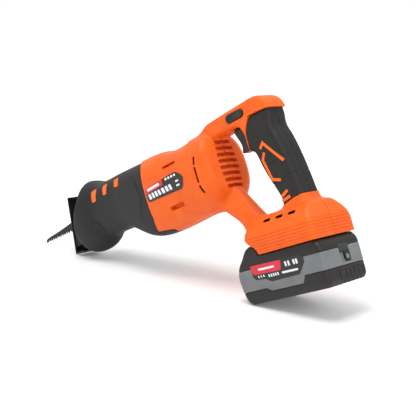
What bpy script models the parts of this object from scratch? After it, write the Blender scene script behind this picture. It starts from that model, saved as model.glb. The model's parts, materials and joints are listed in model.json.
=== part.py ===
"""Cordless reciprocating saw, lying nose-down on its shoe and battery.

Row frame: metres, +X forward and level, +Y the tool's left side, +Z up, origin on the floor under the
middle of the bounding box. Everything is laid out in millimetres in the tool's own frame (x forward along
the plunger, z up from the plunger's axis) and hung under one empty that carries the nose-down pitch.
"""
import math

import bmesh
import bpy
from mathutils import Matrix, Vector

MM = 0.001

# ---- driving dimensions, millimetres and degrees --------------------------------------------------
PITCH = 24.0  # nose-down pitch of the plunger axis at rest
AXIS_HEIGHT = 193.0  # plunger axis above the battery's front bottom edge
ROW_SHIFT = 173.05  # puts the origin under the middle of the bounding box
SETTLE = 1.0  # how far the rounded edges let the tool down onto the floor
GAP = 0.3  # between pieces that touch
RUN = 0.05  # radial clearance of a running fit
WALL = 3.0  # housing and boot wall
HAND_W = 16.5  # half width of the handle
BODY_W = 39.0  # half width of the motor body
SQUARE = 2.6  # superellipse power of the body sections

PLUNGER_R = 7.0
STROKE = 20.0
CRANK_X = 150.0
MOTOR_Z = -20.0
CAN_R = 22.0
CAN_X = (15.0, 70.0)
FAN_R = 28.0
FAN_X = (76.0, 87.0)
FAN_BLADES = 7
SHAFT_R = 4.0
BUSH_R = 9.5
CLAMP_X = (258.0, 291.0)
CLAMP_R = 10.0
COLLAR_R = 15.0
COLLAR_X = (263.0, 284.0)
GEAR_TEETH = 24
PINION_TEETH = 6
GEAR_R = 24.0
GEAR_FACE = 7.5
SHOE_PIVOT = (284.0, -27.0)
SHOE_PIN_R = 3.0
SHOE_W = 18.0
SHOE_T = 2.5
BLADE_TIP = 416.0
BLADE_T = 1.2
TOOTH_PITCH = 6.0
TOOTH_TIP = -8.5
TOOTH_ROOT = -6.3
TOOTH_RISE = 0.024  # the toothed edge climbs this much per mm towards the tip

PACK_TILT = 3.3  # battery base against the plunger axis, rear end lower
PACK_L = 121.0
PACK_NOSE = 7.0  # how far the front bulges past the front-bottom edge
PACK_W = 38.0
PACK_TOP = 54.0
BAND = (19.5, 39.5)
FOOT_W = 40.5

TRIGGER_X = (-46.0, -28.0)
TRIGGER_Z = (-19.0, 11.0)
TRIGGER_PULL = 6.0
LOCK_AT = (-47.5, 23.0)
LOCK_HALF = (14.0, 4.75)
PLATE = (46.0, 118.0, -33.0, -8.0)

BODY = (  # x, top, bottom, half width
    (1.0, 2.0, -47.0, 20.0),
    (3.0, 12.0, -55.0, 28.0),
    (8.0, 20.0, -63.0, 34.0),
    (18.0, 26.0, -69.0, 37.5),
    (34.0, 27.0, -71.0, 38.3),
    (60.0, 26.5, -71.5, 38.6),
    (85.0, 29.5, -72.5, BODY_W),
    (112.0, 31.0, -73.0, BODY_W),
    (145.0, 31.0, -71.0, 37.0),
)
BOOT = (  # x, top, bottom, half width
    (112.0, 31.0, -73.0, BODY_W),
    (134.0, 31.0, -72.0, 37.6),
    (148.0, 31.5, -68.5, 36.3),
    (162.0, 32.0, -62.0, 34.6),
    (175.0, 32.5, -54.0, 33.0),
    (186.0, 33.0, -46.0, 31.6),
    (198.0, 33.0, -42.0, 31.0),
    (226.0, 34.0, -41.5, 31.0),
    (238.0, 37.0, -44.0, 32.0),
    (250.0, 42.0, -49.0, 34.0),
    (264.0, 46.5, -53.5, 36.5),
    (277.0, 48.0, -55.0, 38.0),
    (288.0, 46.5, -54.5, 37.5),
    (296.0, 43.0, -51.5, 35.0),
)
JOINT_LINE = ((139.0, 0.0), (137.0, 10.0), (131.0, 22.0), (123.0, 33.0), (117.0, 46.0))
TOP_ARM = (
    (32.0, 22.0), (15.0, 31.0), (6.0, 34.0), (-60.0, 33.5), (-82.0, 32.5), (-92.0, 28.0),
    (-98.5, 20.0), (-101.0, 10.0), (-97.0, -4.0), (-54.0, -4.0), (-50.0, 8.0), (-28.0, 12.0),
    (2.0, 12.0), (14.0, 4.0), (32.0, -6.0),
)
GRIP = (
    (-51.0, 9.0), (-53.0, -5.0), (-58.5, -18.0), (-60.5, -35.0), (-62.5, -52.0), (-70.0, -72.0),
    (-74.0, -86.0), (-70.0, -112.0), (-110.0, -112.0), (-106.0, -92.0), (-104.5, -75.0),
    (-102.5, -50.0), (-98.5, -25.0), (-95.5, -8.0), (-99.0, 9.0),
)
GRIP_ZONE = (
    (-53.0, 2.0), (-64.0, 15.0), (-112.0, 5.0), (-112.0, -91.0), (-95.0, -91.0), (-60.0, -96.0),
    (-40.0, -96.0), (-40.0, -22.0), (-53.5, -20.0),
)
STRUT = (
    (32.0, -56.0), (22.0, -70.0), (14.0, -77.0), (-9.0, -102.0), (-14.0, -112.0), (-38.0, -112.0),
    (-30.0, -98.0), (-10.0, -60.0), (4.0, -44.0), (32.0, -40.0),
)
FOOT = (  # height, front, rear, half width, corner radius in the battery frame
    (PACK_TOP + GAP, -33.0, -119.0, FOOT_W, 8.0),
    (67.0, -23.0, -119.5, FOOT_W, 8.0),
    (72.0, -17.5, -119.0, FOOT_W - 0.5, 9.0),
    (80.0, -17.0, -118.0, 37.5, 11.0),
    (86.0, -19.0, -116.0, 32.0, 12.0),
    (91.0, -22.0, -112.5, 25.0, 12.0),
    (95.5, -28.0, -110.0, 17.5, 10.0),
)
SCREWS = (  # x, z, depth of the boss to the side wall
    (-86.0, 20.0, 14.0), (-2.0, 23.0, 14.0), (54.0, 17.0, 22.0), (56.0, -61.0, 22.0),
    (-6.0, -86.0, 12.5), (86.0, 20.0, 22.0),
)


# ---- frames, collections and materials --------------------------------------------------------------
def clear_scene():
    for item in list(bpy.data.objects):
        bpy.data.objects.remove(item, do_unlink=True)


def collection(name, hidden=False):
    made = bpy.data.collections.new(name)
    bpy.context.scene.collection.children.link(made)
    made.hide_render = hidden
    return made


def empty(name, group, at=(0.0, 0.0, 0.0), turn=0.0, parent=None):
    """An axis marker: at in millimetres in the parent's frame, turned about Y by turn degrees."""
    made = bpy.data.objects.new(name, None)
    made.location = Vector(at) * MM
    made.rotation_euler = (0.0, math.radians(turn), 0.0)
    made.parent = parent
    group.objects.link(made)
    return made


def material(name, colour, roughness, metallic=0.0):
    made = bpy.data.materials.new(name)
    made.use_nodes = True
    shader = made.node_tree.nodes["Principled BSDF"]
    shader.inputs["Base Color"].default_value = (*colour, 1.0)
    shader.inputs["Roughness"].default_value = roughness
    shader.inputs["Metallic"].default_value = metallic
    return made


def add(name, bm, parent, paint=None):
    """A named object from the bmesh, whose points are millimetres in the tool or battery frame."""
    base = parent.location / MM if parent.parent == TOOL and parent != PACK else Vector()
    if parent.parent == PACK:
        base = parent.location / MM
    bmesh.ops.translate(bm, vec=-base, verts=bm.verts)
    bmesh.ops.scale(bm, vec=(MM, MM, MM), verts=bm.verts)
    bmesh.ops.recalc_face_normals(bm, faces=bm.faces)
    mesh = bpy.data.meshes.new(name)
    bm.to_mesh(mesh)
    bm.free()
    made = bpy.data.objects.new(name, mesh)
    made.parent = parent
    if paint is None:
        CUTTERS.objects.link(made)
        made.hide_render = True
        made.display_type = "WIRE"
    else:
        SAW.objects.link(made)
        mesh.materials.append(paint)
    return made


def combine(target, other, operation):
    step = target.modifiers.new(operation.lower(), "BOOLEAN")
    step.operation = operation
    step.object = other
    step.solver = "EXACT"
    return step


def cut(target, other):
    return combine(target, other, "DIFFERENCE")


def join(target, other):
    return combine(target, other, "UNION")


def keep(target, other):
    return combine(target, other, "INTERSECT")


# ---- shapes, all in millimetres -----------------------------------------------------------------------
def box(*limits):
    """A block from (x0, x1, y0, y1, z0, z1)."""
    bm = bmesh.new()
    bmesh.ops.create_cube(bm, size=1.0)
    low = Vector(limits[0::2])
    high = Vector(limits[1::2])
    for vert in bm.verts:
        vert.co = low + Vector(a * b for a, b in zip(vert.co + Vector((0.5, 0.5, 0.5)), high - low))
    return bm


def merge(*parts):
    """Several separate closed shapes in one bmesh."""
    bm = bmesh.new()
    for part in parts:
        mesh = bpy.data.meshes.new("scratch")
        part.to_mesh(mesh)
        part.free()
        bm.from_mesh(mesh)
        bpy.data.meshes.remove(mesh)
    return bm


def rod(axis, radius, start, end, across=(0.0, 0.0), sides=24, radius2=None):
    """A cylinder or cone along axis; across is its place on the other two axes in x, y, z order."""
    bm = bmesh.new()
    bmesh.ops.create_cone(bm, cap_ends=True, cap_tris=False, segments=sides, radius1=radius,
                          radius2=radius if radius2 is None else radius2, depth=end - start)
    middle = (start + end) / 2
    if axis == "X":
        turn = Matrix.Rotation(math.pi / 2, 4, "Y")
        at = (middle, across[0], across[1])
    elif axis == "Y":
        turn = Matrix.Rotation(-math.pi / 2, 4, "X")
        at = (across[0], middle, across[1])
    else:
        turn = Matrix.Identity(4)
        at = (across[0], across[1], middle)
    bmesh.ops.transform(bm, matrix=Matrix.Translation(at) @ turn, verts=bm.verts)
    return bm


def turned(profile, axis_z=0.0, sides=24):
    """A ring or solid of revolution about the line along X at height axis_z; profile is (x, radius)."""
    bm = bmesh.new()
    verts = [bm.verts.new((x, 0.0, axis_z + r)) for x, r in profile]
    edges = [bm.edges.new(pair) for pair in zip(verts, verts[1:])]
    if profile[0][1] > 0.001:
        edges.append(bm.edges.new((verts[-1], verts[0])))
    bmesh.ops.spin(bm, geom=verts + edges, cent=(0.0, 0.0, axis_z), axis=(1.0, 0.0, 0.0),
                   angle=2 * math.pi, steps=sides, use_merge=False)
    bmesh.ops.remove_doubles(bm, verts=bm.verts, dist=0.0005)
    return bm


def prism(outline, y0, y1, soft=0.0, steps=2):
    """The (x, z) outline pushed from y0 to y1, with its two rims rounded by soft."""
    bm = bmesh.new()
    face = bm.faces.new([bm.verts.new((x, y0, z)) for x, z in outline])
    moved = bmesh.ops.extrude_face_region(bm, geom=[face])
    verts = [item for item in moved["geom"] if isinstance(item, bmesh.types.BMVert)]
    bmesh.ops.translate(bm, vec=(0.0, y1 - y0, 0.0), verts=verts)
    bmesh.ops.recalc_face_normals(bm, faces=bm.faces)
    if soft:
        rims = [edge for edge in bm.edges if abs(edge.verts[0].co.y - edge.verts[1].co.y) < 1e-6]
        bmesh.ops.bevel(bm, geom=rims, offset=soft, segments=steps, profile=0.5, affect="EDGES",
                        clamp_overlap=True)
    return bm


def inset(outline, by):
    """The outline moved inwards by a distance, edge by edge."""
    points = [Vector(point) for point in outline]
    area = sum(a.x * b.y - b.x * a.y for a, b in zip(points, points[1:] + points[:1]))
    side = 1.0 if area > 0 else -1.0
    out = []
    for k, here in enumerate(points):
        before = (here - points[k - 1]).normalized()
        after = (points[(k + 1) % len(points)] - here).normalized()
        n0 = Vector((-before.y, before.x)) * side
        n1 = Vector((-after.y, after.x)) * side
        out.append(tuple(here + (n0 + n1) * (by / (1.0 + n0.dot(n1)))))
    return out


def rings(loops):
    """A closed skin through a list of equal loops of points, capped at both ends."""
    bm = bmesh.new()
    rows = [[bm.verts.new(point) for point in loop] for loop in loops]
    count = len(rows[0])
    for low, high in zip(rows, rows[1:]):
        for k in range(count):
            bm.faces.new((low[k], low[(k + 1) % count], high[(k + 1) % count], high[k]))
    bm.faces.new(rows[0])
    bm.faces.new(rows[-1])
    return bm


def body_loft(stations, by=0.0, start=None, end=None, sides=20):
    """Superelliptic sections along x, each (x, top, bottom, half width), drawn in by a distance."""
    loops = []
    for x, top, bottom, half in stations:
        if (start is not None and x <= start) or (end is not None and x >= end):
            continue
        loops.append((x, top, bottom, half))
    if start is not None:
        loops.insert(0, section_at(stations, start))
    if end is not None:
        loops.append(section_at(stations, end))
    skin = []
    for x, top, bottom, half in loops:
        middle = (top + bottom) / 2
        tall = (top - bottom) / 2 - by
        wide = half - by
        loop = []
        for k in range(sides):
            angle = 2 * math.pi * (k + 0.5) / sides
            c, s = math.cos(angle), math.sin(angle)
            y = wide * math.copysign(abs(c) ** (2 / SQUARE), c)
            z = middle + tall * math.copysign(abs(s) ** (2 / SQUARE), s)
            loop.append((x, y, z))
        skin.append(loop)
    return rings(skin)


def section_at(stations, x):
    for a, b in zip(stations, stations[1:]):
        if a[0] <= x <= b[0]:
            t = (x - a[0]) / (b[0] - a[0])
            return tuple(p + (q - p) * t for p, q in zip(a, b))
    return stations[-1]


def slab(height, front, rear, half, radius, corner=4):
    """One rounded rectangle loop lying level at a height."""
    loop = []
    for cx, cy, first in ((front - radius, half - radius, 0), (rear + radius, half - radius, 1),
                          (rear + radius, radius - half, 2), (front - radius, radius - half, 3)):
        for k in range(corner):
            angle = math.pi / 2 * (first + k / (corner - 1))
            loop.append((cx + radius * math.cos(angle), cy + radius * math.sin(angle), height))
    return loop


def stack(levels):
    return rings([slab(*level) for level in levels])


# ---- housings -------------------------------------------------------------------------------------------
def front_side(clearance, ahead):
    """Everything ahead of (or behind) the curved joint between the motor housing and the boot."""
    line = [(x + clearance, y) for x, y in JOINT_LINE]
    line = [(x, -y) for x, y in reversed(line[1:])] + line
    far = 330.0 if ahead else -160.0
    outline = line + [(far, 60.0), (far, -60.0)]
    bm = bmesh.new()
    face = bm.faces.new([bm.verts.new((x, y, -120.0)) for x, y in outline])
    moved = bmesh.ops.extrude_face_region(bm, geom=[face])
    verts = [item for item in moved["geom"] if isinstance(item, bmesh.types.BMVert)]
    bmesh.ops.translate(bm, vec=(0.0, 0.0, 240.0), verts=verts)
    return bm


def vents():
    """Cooling slots, rear face grooves and the three slots along each side of the foot."""
    cuts = []
    for side in (-1, 1):
        reach = sorted((side * 24.0, side * 60.0))
        cuts.append(box(50.0, 75.0, *reach, 2.0, 5.0))
        cuts.append(box(55.0, 80.0, *reach, -50.0, -46.0))
        for x0, x1, z0, z1 in ((12.5, 17.0, -11.0, -4.0), (16.5, 19.5, -35.0, -15.0),
                               (12.5, 17.0, -47.0, -39.0)):
            cuts.append(box(x0, x1, *reach, z0, z1))
    for k in range(7):
        z = 2.0 - 8.0 * k
        cuts.append(box(-10.0, 3.4, -14.0, 18.0, z - 2.2, z + 2.2))
    return merge(*cuts)


def foot_slots():
    cuts = []
    for side in (-1, 1):
        reach = sorted((side * 33.5, side * 60.0))
        for k in range(3):
            u = -58.0 - 18.5 * k
            cuts.append(box(u - 10.5, u, *reach, 80.2, 82.6))
    return merge(*cuts)


def housing_blank():
    """Both halves of the orange housing as one hollow body; the halves are taken from it."""
    blank = add("housing_blank", body_loft(BODY), TOOL)
    keep(blank, add("behind_joint", front_side(0.0, False), TOOL))
    join(blank, add("top_arm", prism(TOP_ARM, -HAND_W, HAND_W, 6.0), TOOL))
    join(blank, add("strut", prism(STRUT, -15.0, 15.0, 4.0), TOOL))
    join(blank, add("foot", stack(FOOT), PACK))
    join(blank, add("grip_outer", prism(GRIP, -17.0, 17.0, 7.0), TOOL))
    shell = add("grip_shell", prism(GRIP_ZONE, -30.0, 30.0), TOOL)
    cut(shell, add("grip_core", prism(core_outline(2.0), -15.0, 15.0, 6.0), TOOL))
    cut(blank, shell)
    cavity = add("motor_space", body_loft(BODY, WALL, 5.0, 150.0), TOOL)
    for x in (26.0, 62.0):
        cut(cavity, add("motor_rib_%d" % x, box(x - 1.5, x + 1.5, -60, 60, -100, 60), TOOL))
    join(cavity, add("motor_bore", rod("X", CAN_R + GAP, 8.0, 73.0, (0.0, MOTOR_Z), 24), TOOL))
    cut(blank, cavity)
    cut(blank, add("arm_space", prism(((4.0, 30.0), (-80.0, 29.0), (-92.0, 20.0), (-94.0, 8.0),
                                       (-92.0, -20.0), (-64.0, -20.0), (-57.0, 15.0), (4.0, 16.0)),
                                      -13.0, 13.0), TOOL))
    cut(blank, add("grip_space", prism(((-64.0, -18.0), (-67.5, -52.0), (-78.0, -80.0), (-79.0, -108.0),
                                        (-100.0, -108.0), (-98.5, -75.0), (-92.5, -20.0)),
                                       -11.5, 11.5), TOOL))
    cut(blank, add("trigger_mouth", box(-71.0, -26.5, -7.4, 7.4, -19.5, 15.0), TOOL))
    cut(blank, add("strut_space", prism(((8.0, -62.0), (10.0, -74.0), (-14.0, -101.0), (-25.0, -100.0),
                                         (-6.0, -66.0)), -11.0, 11.0), TOOL))
    cut(blank, add("foot_space", stack(((69.0, -38.0, -110.0, 33.0, 6.0), (77.0, -38.0, -110.0, 33.0, 6.0),
                                        (83.0, -38.0, -106.0, 24.0, 6.0))), PACK))
    cut(blank, add("rail_channel", box(-116.0, -10.0, -27.0, 27.0, 50.0, 66.0), PACK))
    cut(blank, add("contact_window", box(-100.0, -60.0, -21.0, 21.0, 60.0, 72.0), PACK))
    bosses = merge(*[rod("Y", 4.6, -deep, deep, (x, z), 10) for x, z, deep in SCREWS])
    join(blank, add("screw_bosses", bosses, TOOL))
    cut(blank, add("vent_cuts", vents(), TOOL))
    cut(blank, add("foot_slot_cuts", foot_slots(), PACK))
    cut(blank, add("lock_hole", stadium(LOCK_AT, LOCK_HALF, GAP, -30.0, 30.0), TOOL))
    return blank


def stadium(at, half, grow, y0, y1, steps=6):
    """A slot-shaped prism, half = half length and half height, grown by a clearance."""
    r = half[1] + grow
    run = half[0] - half[1]
    outline = []
    for side, first in ((1, -90), (-1, 90)):
        for k in range(steps + 1):
            angle = math.radians(first + 180 * k / steps)
            outline.append((at[0] + side * run + r * math.cos(angle), at[1] + r * math.sin(angle)))
    return prism(outline, y0, y1)


def housings(orange):
    blank = housing_blank()
    left = add("housing_left", box(-150, 160, GAP / 2, 60, -170, 60), TOOL, orange)
    right = add("housing_right", box(-150, 160, -60, -GAP / 2, -170, 60), TOOL, orange)
    keep(left, blank)
    keep(right, blank)
    heads = merge(*[rod("Y", 3.6, -60.0, 2.0 - deep, (x, z), 10) for x, z, deep in SCREWS])
    shanks = merge(*[rod("Y", 1.8, -deep - 1.0, 5.0, (x, z), 8) for x, z, deep in SCREWS])
    cut(right, add("screw_heads", heads, TOOL))
    cut(right, add("screw_shanks", shanks, TOOL))
    pilots = merge(*[rod("Y", 1.8, -5.0, 9.0, (x, z), 8) for x, z, deep in SCREWS])
    cut(left, add("screw_pilots", pilots, TOOL))


def core_outline(by):
    """The grip drawn in on its front and rear, running on up into the arm and down into the foot."""
    points = inset(GRIP, by)
    tall = {0: 20.0, len(points) - 1: 20.0, 7: -118.0, 8: -118.0}
    return [(x, tall.get(k, z)) for k, (x, z) in enumerate(points)]


def grip_covers(rubber):
    """The soft black grip, one cover on each half of the handle."""
    core = add("cover_core", prism(core_outline(2.0 - GAP), -15.0 - GAP, 15.0 + GAP, 6.0), TOOL)
    zone = add("cover_zone", prism(inset(GRIP_ZONE, GAP), -30.0, 30.0), TOOL)
    for name, y0, y1 in (("grip_cover_left", GAP / 2, 17.0), ("grip_cover_right", -17.0, -GAP / 2)):
        cover = add(name, prism(GRIP, -17.0, 17.0, 7.0), TOOL, rubber)
        keep(cover, zone)
        cut(cover, core)
        keep(cover, add(name + "_half", box(-150, 0, y0, y1 + 0.01, -120, 40), TOOL))
        cut(cover, add(name + "_arm", box(-72.0, -40.0, -7.7, 7.7, -19.8, 15.0), TOOL))


def front_boot(rubber):
    boot = add("front_boot", body_loft(BOOT), TOOL, rubber)
    keep(boot, add("ahead_of_joint", front_side(GAP, True), TOOL))
    cut(boot, add("boot_space", body_loft(BOOT, WALL), TOOL))
    cut(boot, add("boot_mouth", body_loft(((290.0, 40.0, -48.5, 32.0), (300.0, 40.0, -48.5, 32.0))), TOOL))
    cut(boot, add("boot_tail", body_loft(((100.0, 28.0, -70.0, 36.0), (114.0, 28.0, -70.0, 36.0))), TOOL))
    join(boot, add("boot_boss_left", rod("Y", 9.0, 31.5, 35.5, (249.0, -27.0), 16, 8.0), TOOL))


def screws(steel):
    for k, (x, z, deep) in enumerate(SCREWS):
        head = 1.7 - deep
        screw = add("housing_screw_%d" % (k + 1), rod("Y", 1.5, head - 0.5, 8.0, (x, z), 8), TOOL, steel)
        join(screw, add("screw_head_%d" % k, rod("Y", 3.2, head - 2.6, head, (x, z), 10), TOOL))


def name_plates(dark):
    x0, x1, z0, z1 = PLATE
    outline = ((x0 + 5, z0), (x1 - 9, z0), (x1, z0 + 9), (x1, z1), (x0 + 5, z1), (x0, z1 - 5), (x0, z0 + 5))
    for name, y0, y1 in (("name_plate_left", 39.1, 39.9), ("name_plate_right", -39.9, -39.1)):
        add(name, prism(outline, y0, y1), TOOL, dark)


# ---- gearing --------------------------------------------------------------------------------------------
def gear_case(alloy):
    """Cast gear case in an upper and a lower half, parted below the gear."""
    outer = list(BOOT[:6]) + [(189.0, 32.5, -44.0, 31.2)]
    outer = [(96.0, 30.5, -72.8, BODY_W)] + outer
    blank = add("case_blank", body_loft(outer, WALL + 0.5), TOOL)
    join(blank, add("case_nose", rod("X", 17.0, 186.0, 240.0, (0.0, 0.0), 24), TOOL))
    inner = [(121.0, 31.0, -72.8, 38.4)] + list(BOOT[1:5]) + [(182.0, 32.9, -48.5, 32.1)]
    cut(blank, add("case_space", body_loft(inner, WALL + 4.0), TOOL))
    cut(blank, add("plunger_way", rod("X", PLUNGER_R + 0.8, 90.0, 245.0, (0.0, 0.0), 24), TOOL))
    cut(blank, add("front_bush_seat", rod("X", BUSH_R + GAP, 222.0, 234.4, (0.0, 0.0), 24), TOOL))
    cut(blank, add("seal_seat", rod("X", 11.3, 234.4, 245.0, (0.0, 0.0), 24), TOOL))
    cut(blank, add("rear_bush_seat", rod("X", BUSH_R + GAP, 108.0, 122.0, (0.0, 0.0), 24), TOOL))
    cut(blank, add("shaft_way", rod("X", 7.6, 90.0, 122.0, (0.0, MOTOR_Z), 24), TOOL))
    cut(blank, add("bearing_seat", rod("X", 11.3, 90.0, 106.0, (0.0, MOTOR_Z), 24), TOOL))
    floor = add("case_floor", rod("Z", 14.0, -55.0, -38.6, (CRANK_X, 0.0), 24), TOOL)
    cut(floor, add("gear_bearing_seat", rod("Z", 11.3, -46.0, -30.0, (CRANK_X, 0.0), 24), TOOL))
    join(blank, floor)
    upper = add("gear_case_upper", box(90, 250, -60, 60, -38.0 + GAP, 60), TOOL, alloy)
    lower = add("gear_case_lower", box(90, 250, -60, 60, -100, -38.0), TOOL, alloy)
    keep(upper, blank)
    keep(lower, blank)


def bushes(bronze, rubber):
    front = ((222.3, PLUNGER_R + RUN), (234.4, PLUNGER_R + RUN), (234.4, BUSH_R), (222.3, BUSH_R))
    rear = ((108.3, PLUNGER_R + RUN), (120.0, PLUNGER_R + RUN), (120.0, BUSH_R), (108.3, BUSH_R))
    seal = ((234.7, PLUNGER_R + RUN), (237.1, PLUNGER_R + RUN), (237.1, 11.0), (234.7, 11.0))
    add("plunger_bush_front", turned(front, sides=32), TOOL, bronze)
    add("plunger_bush_rear", turned(rear, sides=32), TOOL, bronze)
    add("plunger_seal", turned(seal, sides=32), TOOL, rubber)


def plunger(steel):
    """The reciprocating rod with its cross yoke, at full extension."""
    slider = add("plunger", rod("X", PLUNGER_R, 112.0, 264.0, (0.0, 0.0), 32), TOOL, steel)
    at = CRANK_X + STROKE / 2
    cut(slider, add("yoke_gap", box(at - 13.3, at + 13.3, -30, 30, -9.3, 5.3), TOOL))
    yoke = add("yoke", box(at - 13.0, at + 13.0, -17.0, 17.0, -9.0, 5.0), TOOL, steel)
    cut(yoke, add("yoke_slot", box(at - 5.4, at + 5.4, -15.0, 15.0, -12.0, 3.0), TOOL))


def crank(steel):
    """Bevel crank gear: columns of one section, raised where a tooth stands."""
    slope = PINION_TEETH / GEAR_TEETH
    inner = GEAR_R - GEAR_FACE
    spread = ((-0.5, 0), (-0.22, 0), (-0.13, 1), (0.13, 1), (0.22, 0))
    loops = []
    for tooth in range(GEAR_TEETH):
        for share, high in spread[1:]:
            angle = 2 * math.pi * (tooth + 0.5 + share) / GEAR_TEETH + math.pi
            section = []
            rise = 0.9 if high else -1.9
            low = -2.1
            for r, z in ((6.05, -36.5), (GEAR_R + 1.0, -36.5),
                         (GEAR_R + 1.0, MOTOR_Z - slope * GEAR_R + rise),
                         (inner, MOTOR_Z - slope * inner + rise * inner / GEAR_R),
                         (inner - 0.4, MOTOR_Z - slope * inner + low * 1.6), (6.05, -27.4)):
                section.append((CRANK_X + r * math.cos(angle), r * math.sin(angle), z))
            loops.append(section)
    bm = bmesh.new()
    rows = [[bm.verts.new(point) for point in loop] for loop in loops]
    for k, row in enumerate(rows):
        nearby = rows[(k + 1) % len(rows)]
        for j in range(len(row)):
            n = (j + 1) % len(row)
            bm.faces.new((row[j], row[n], nearby[n], nearby[j]))
    gear = add("crank_gear", bm, CRANK, steel)
    pin_x = CRANK_X + STROKE / 2
    join(gear, add("crank_pin", rod("Z", 3.0, -30.0, -9.5, (pin_x, 0.0), 24), CRANK))
    roller = add("crank_roller", rod("Z", 5.0, -26.4, -9.8, (pin_x, 0.0), 32), CRANK, steel)
    cut(roller, add("roller_bore", rod("Z", 3.0 + RUN, -30.0, -5.0, (pin_x, 0.0), 32), CRANK))
    spindle = add("gear_spindle", rod("Z", 6.0, -45.7, -27.4, (CRANK_X, 0.0), 24), CRANK, steel)
    join(spindle, add("spindle_head", rod("Z", 8.0, -38.4, -36.8, (CRANK_X, 0.0), 24), CRANK))
    bearing = add("gear_bearing", rod("Z", 11.0, -45.7, -38.8, (CRANK_X, 0.0), 24), TOOL, steel)
    cut(bearing, add("gear_bearing_bore", rod("Z", 6.0 + RUN, -50.0, -30.0, (CRANK_X, 0.0), 24), TOOL))


def pinion(steel):
    outer = GEAR_R * PINION_TEETH / GEAR_TEETH
    loops = []
    for away in (GEAR_R + 0.5, GEAR_R - GEAR_FACE + 0.3):
        scale = away / GEAR_R
        loop = []
        for tooth in range(PINION_TEETH):
            for share, r in ((-0.30, outer - 1.5), (-0.17, outer - 0.2), (-0.09, outer + 1.0),
                             (0.09, outer + 1.0), (0.17, outer - 0.2), (0.30, outer - 1.5)):
                angle = 2 * math.pi * (tooth + share) / PINION_TEETH - math.pi / 2
                loop.append((CRANK_X - away, scale * r * math.cos(angle), MOTOR_Z + scale * r * math.sin(angle)))
        loops.append(loop)
    gear = add("motor_pinion", rings(loops), MOTOR, steel)
    cut(gear, add("pinion_bore", rod("X", 2.53, 120.0, 140.0, (0.0, MOTOR_Z), 24), MOTOR))


# ---- motor ------------------------------------------------------------------------------------------------
def motor(steel, plastic, winding):
    """Brushed motor: can, magnets, end bell with brush gear, rotor, fan and two bearings."""
    x0, x1 = CAN_X
    can = ((x0, CAN_R), (x1, CAN_R), (x1, 12.0), (x1 - 2.0, 12.0), (x1 - 2.0, CAN_R - 1.6), (x0, CAN_R - 1.6))
    add("motor_can", turned(can, MOTOR_Z, 24), TOOL, steel)
    for name, y0, y1 in (("magnet_left", 8.0, 30.0), ("magnet_right", -30.0, -8.0)):
        ring = ((26.0, CAN_R - 1.9), (62.0, CAN_R - 1.9), (62.0, CAN_R - 5.6), (26.0, CAN_R - 5.6))
        magnet = add(name, turned(ring, MOTOR_Z, 24), TOOL, winding)
        keep(magnet, add(name + "_arc", box(20.0, 70.0, y0, y1, -60.0, 20.0), TOOL))
    bell = ((8.4, 9.2), (8.4, CAN_R - 1.0), (x0 - GAP, CAN_R - 1.0), (x0 - GAP, 14.0), (14.0, 14.0), (14.0, 9.2))
    add("motor_end_bell", turned(bell, MOTOR_Z, 24), TOOL, plastic)
    shaft = add("rotor", rod("X", SHAFT_R, 8.6, 107.0, (0.0, MOTOR_Z), 20), MOTOR, steel)
    join(shaft, add("shaft_end", rod("X", 2.5, 100.0, 133.0, (0.0, MOTOR_Z), 24), MOTOR))
    join(shaft, add("rotor_stack", rod("X", CAN_R - 6.0, 28.0, 60.0, (0.0, MOTOR_Z), 24), MOTOR))
    join(shaft, add("commutator", rod("X", 9.0, 15.5, 24.0, (0.0, MOTOR_Z), 24), MOTOR))
    slots = [box(27.0, 61.0, -1.0, 1.0, 11.0, 18.0) for k in range(6)]
    for k, slot in enumerate(slots):
        bmesh.ops.transform(slot, matrix=Matrix.Rotation(k * math.pi / 3, 4, "X"), verts=slot.verts)
        bmesh.ops.translate(slot, vec=(0.0, 0.0, MOTOR_Z), verts=slot.verts)
    cut(shaft, add("rotor_slots", merge(*slots), MOTOR))
    for name, a, b in (("motor_bearing_front", 96.5, 105.7), ("motor_bearing_rear", 8.7, 13.7)):
        outer = 11.0 if a > 50 else 8.9
        ring = ((a, SHAFT_R + RUN), (b, SHAFT_R + RUN), (b, outer), (a, outer))
        add(name, turned(ring, MOTOR_Z, 24), TOOL, steel)


def fan(plastic):
    a, b = FAN_X
    hub = ((a, SHAFT_R + 0.1), (b, SHAFT_R + 0.1), (b, 9.0), (a + 2.0, 11.0), (a + 2.0, FAN_R), (a, FAN_R))
    made = add("cooling_fan", turned(hub, MOTOR_Z, 24), MOTOR, plastic)
    blades = []
    for k in range(FAN_BLADES):
        blade = box(a + 1.0, b - 1.0, -0.9, 0.9, 9.0, FAN_R - 1.0)
        bmesh.ops.transform(blade, matrix=Matrix.Rotation(2 * math.pi * k / FAN_BLADES, 4, "X"), verts=blade.verts)
        bmesh.ops.translate(blade, vec=(0.0, 0.0, MOTOR_Z), verts=blade.verts)
        blades.append(blade)
    join(made, add("fan_blades", merge(*blades), MOTOR))


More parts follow.
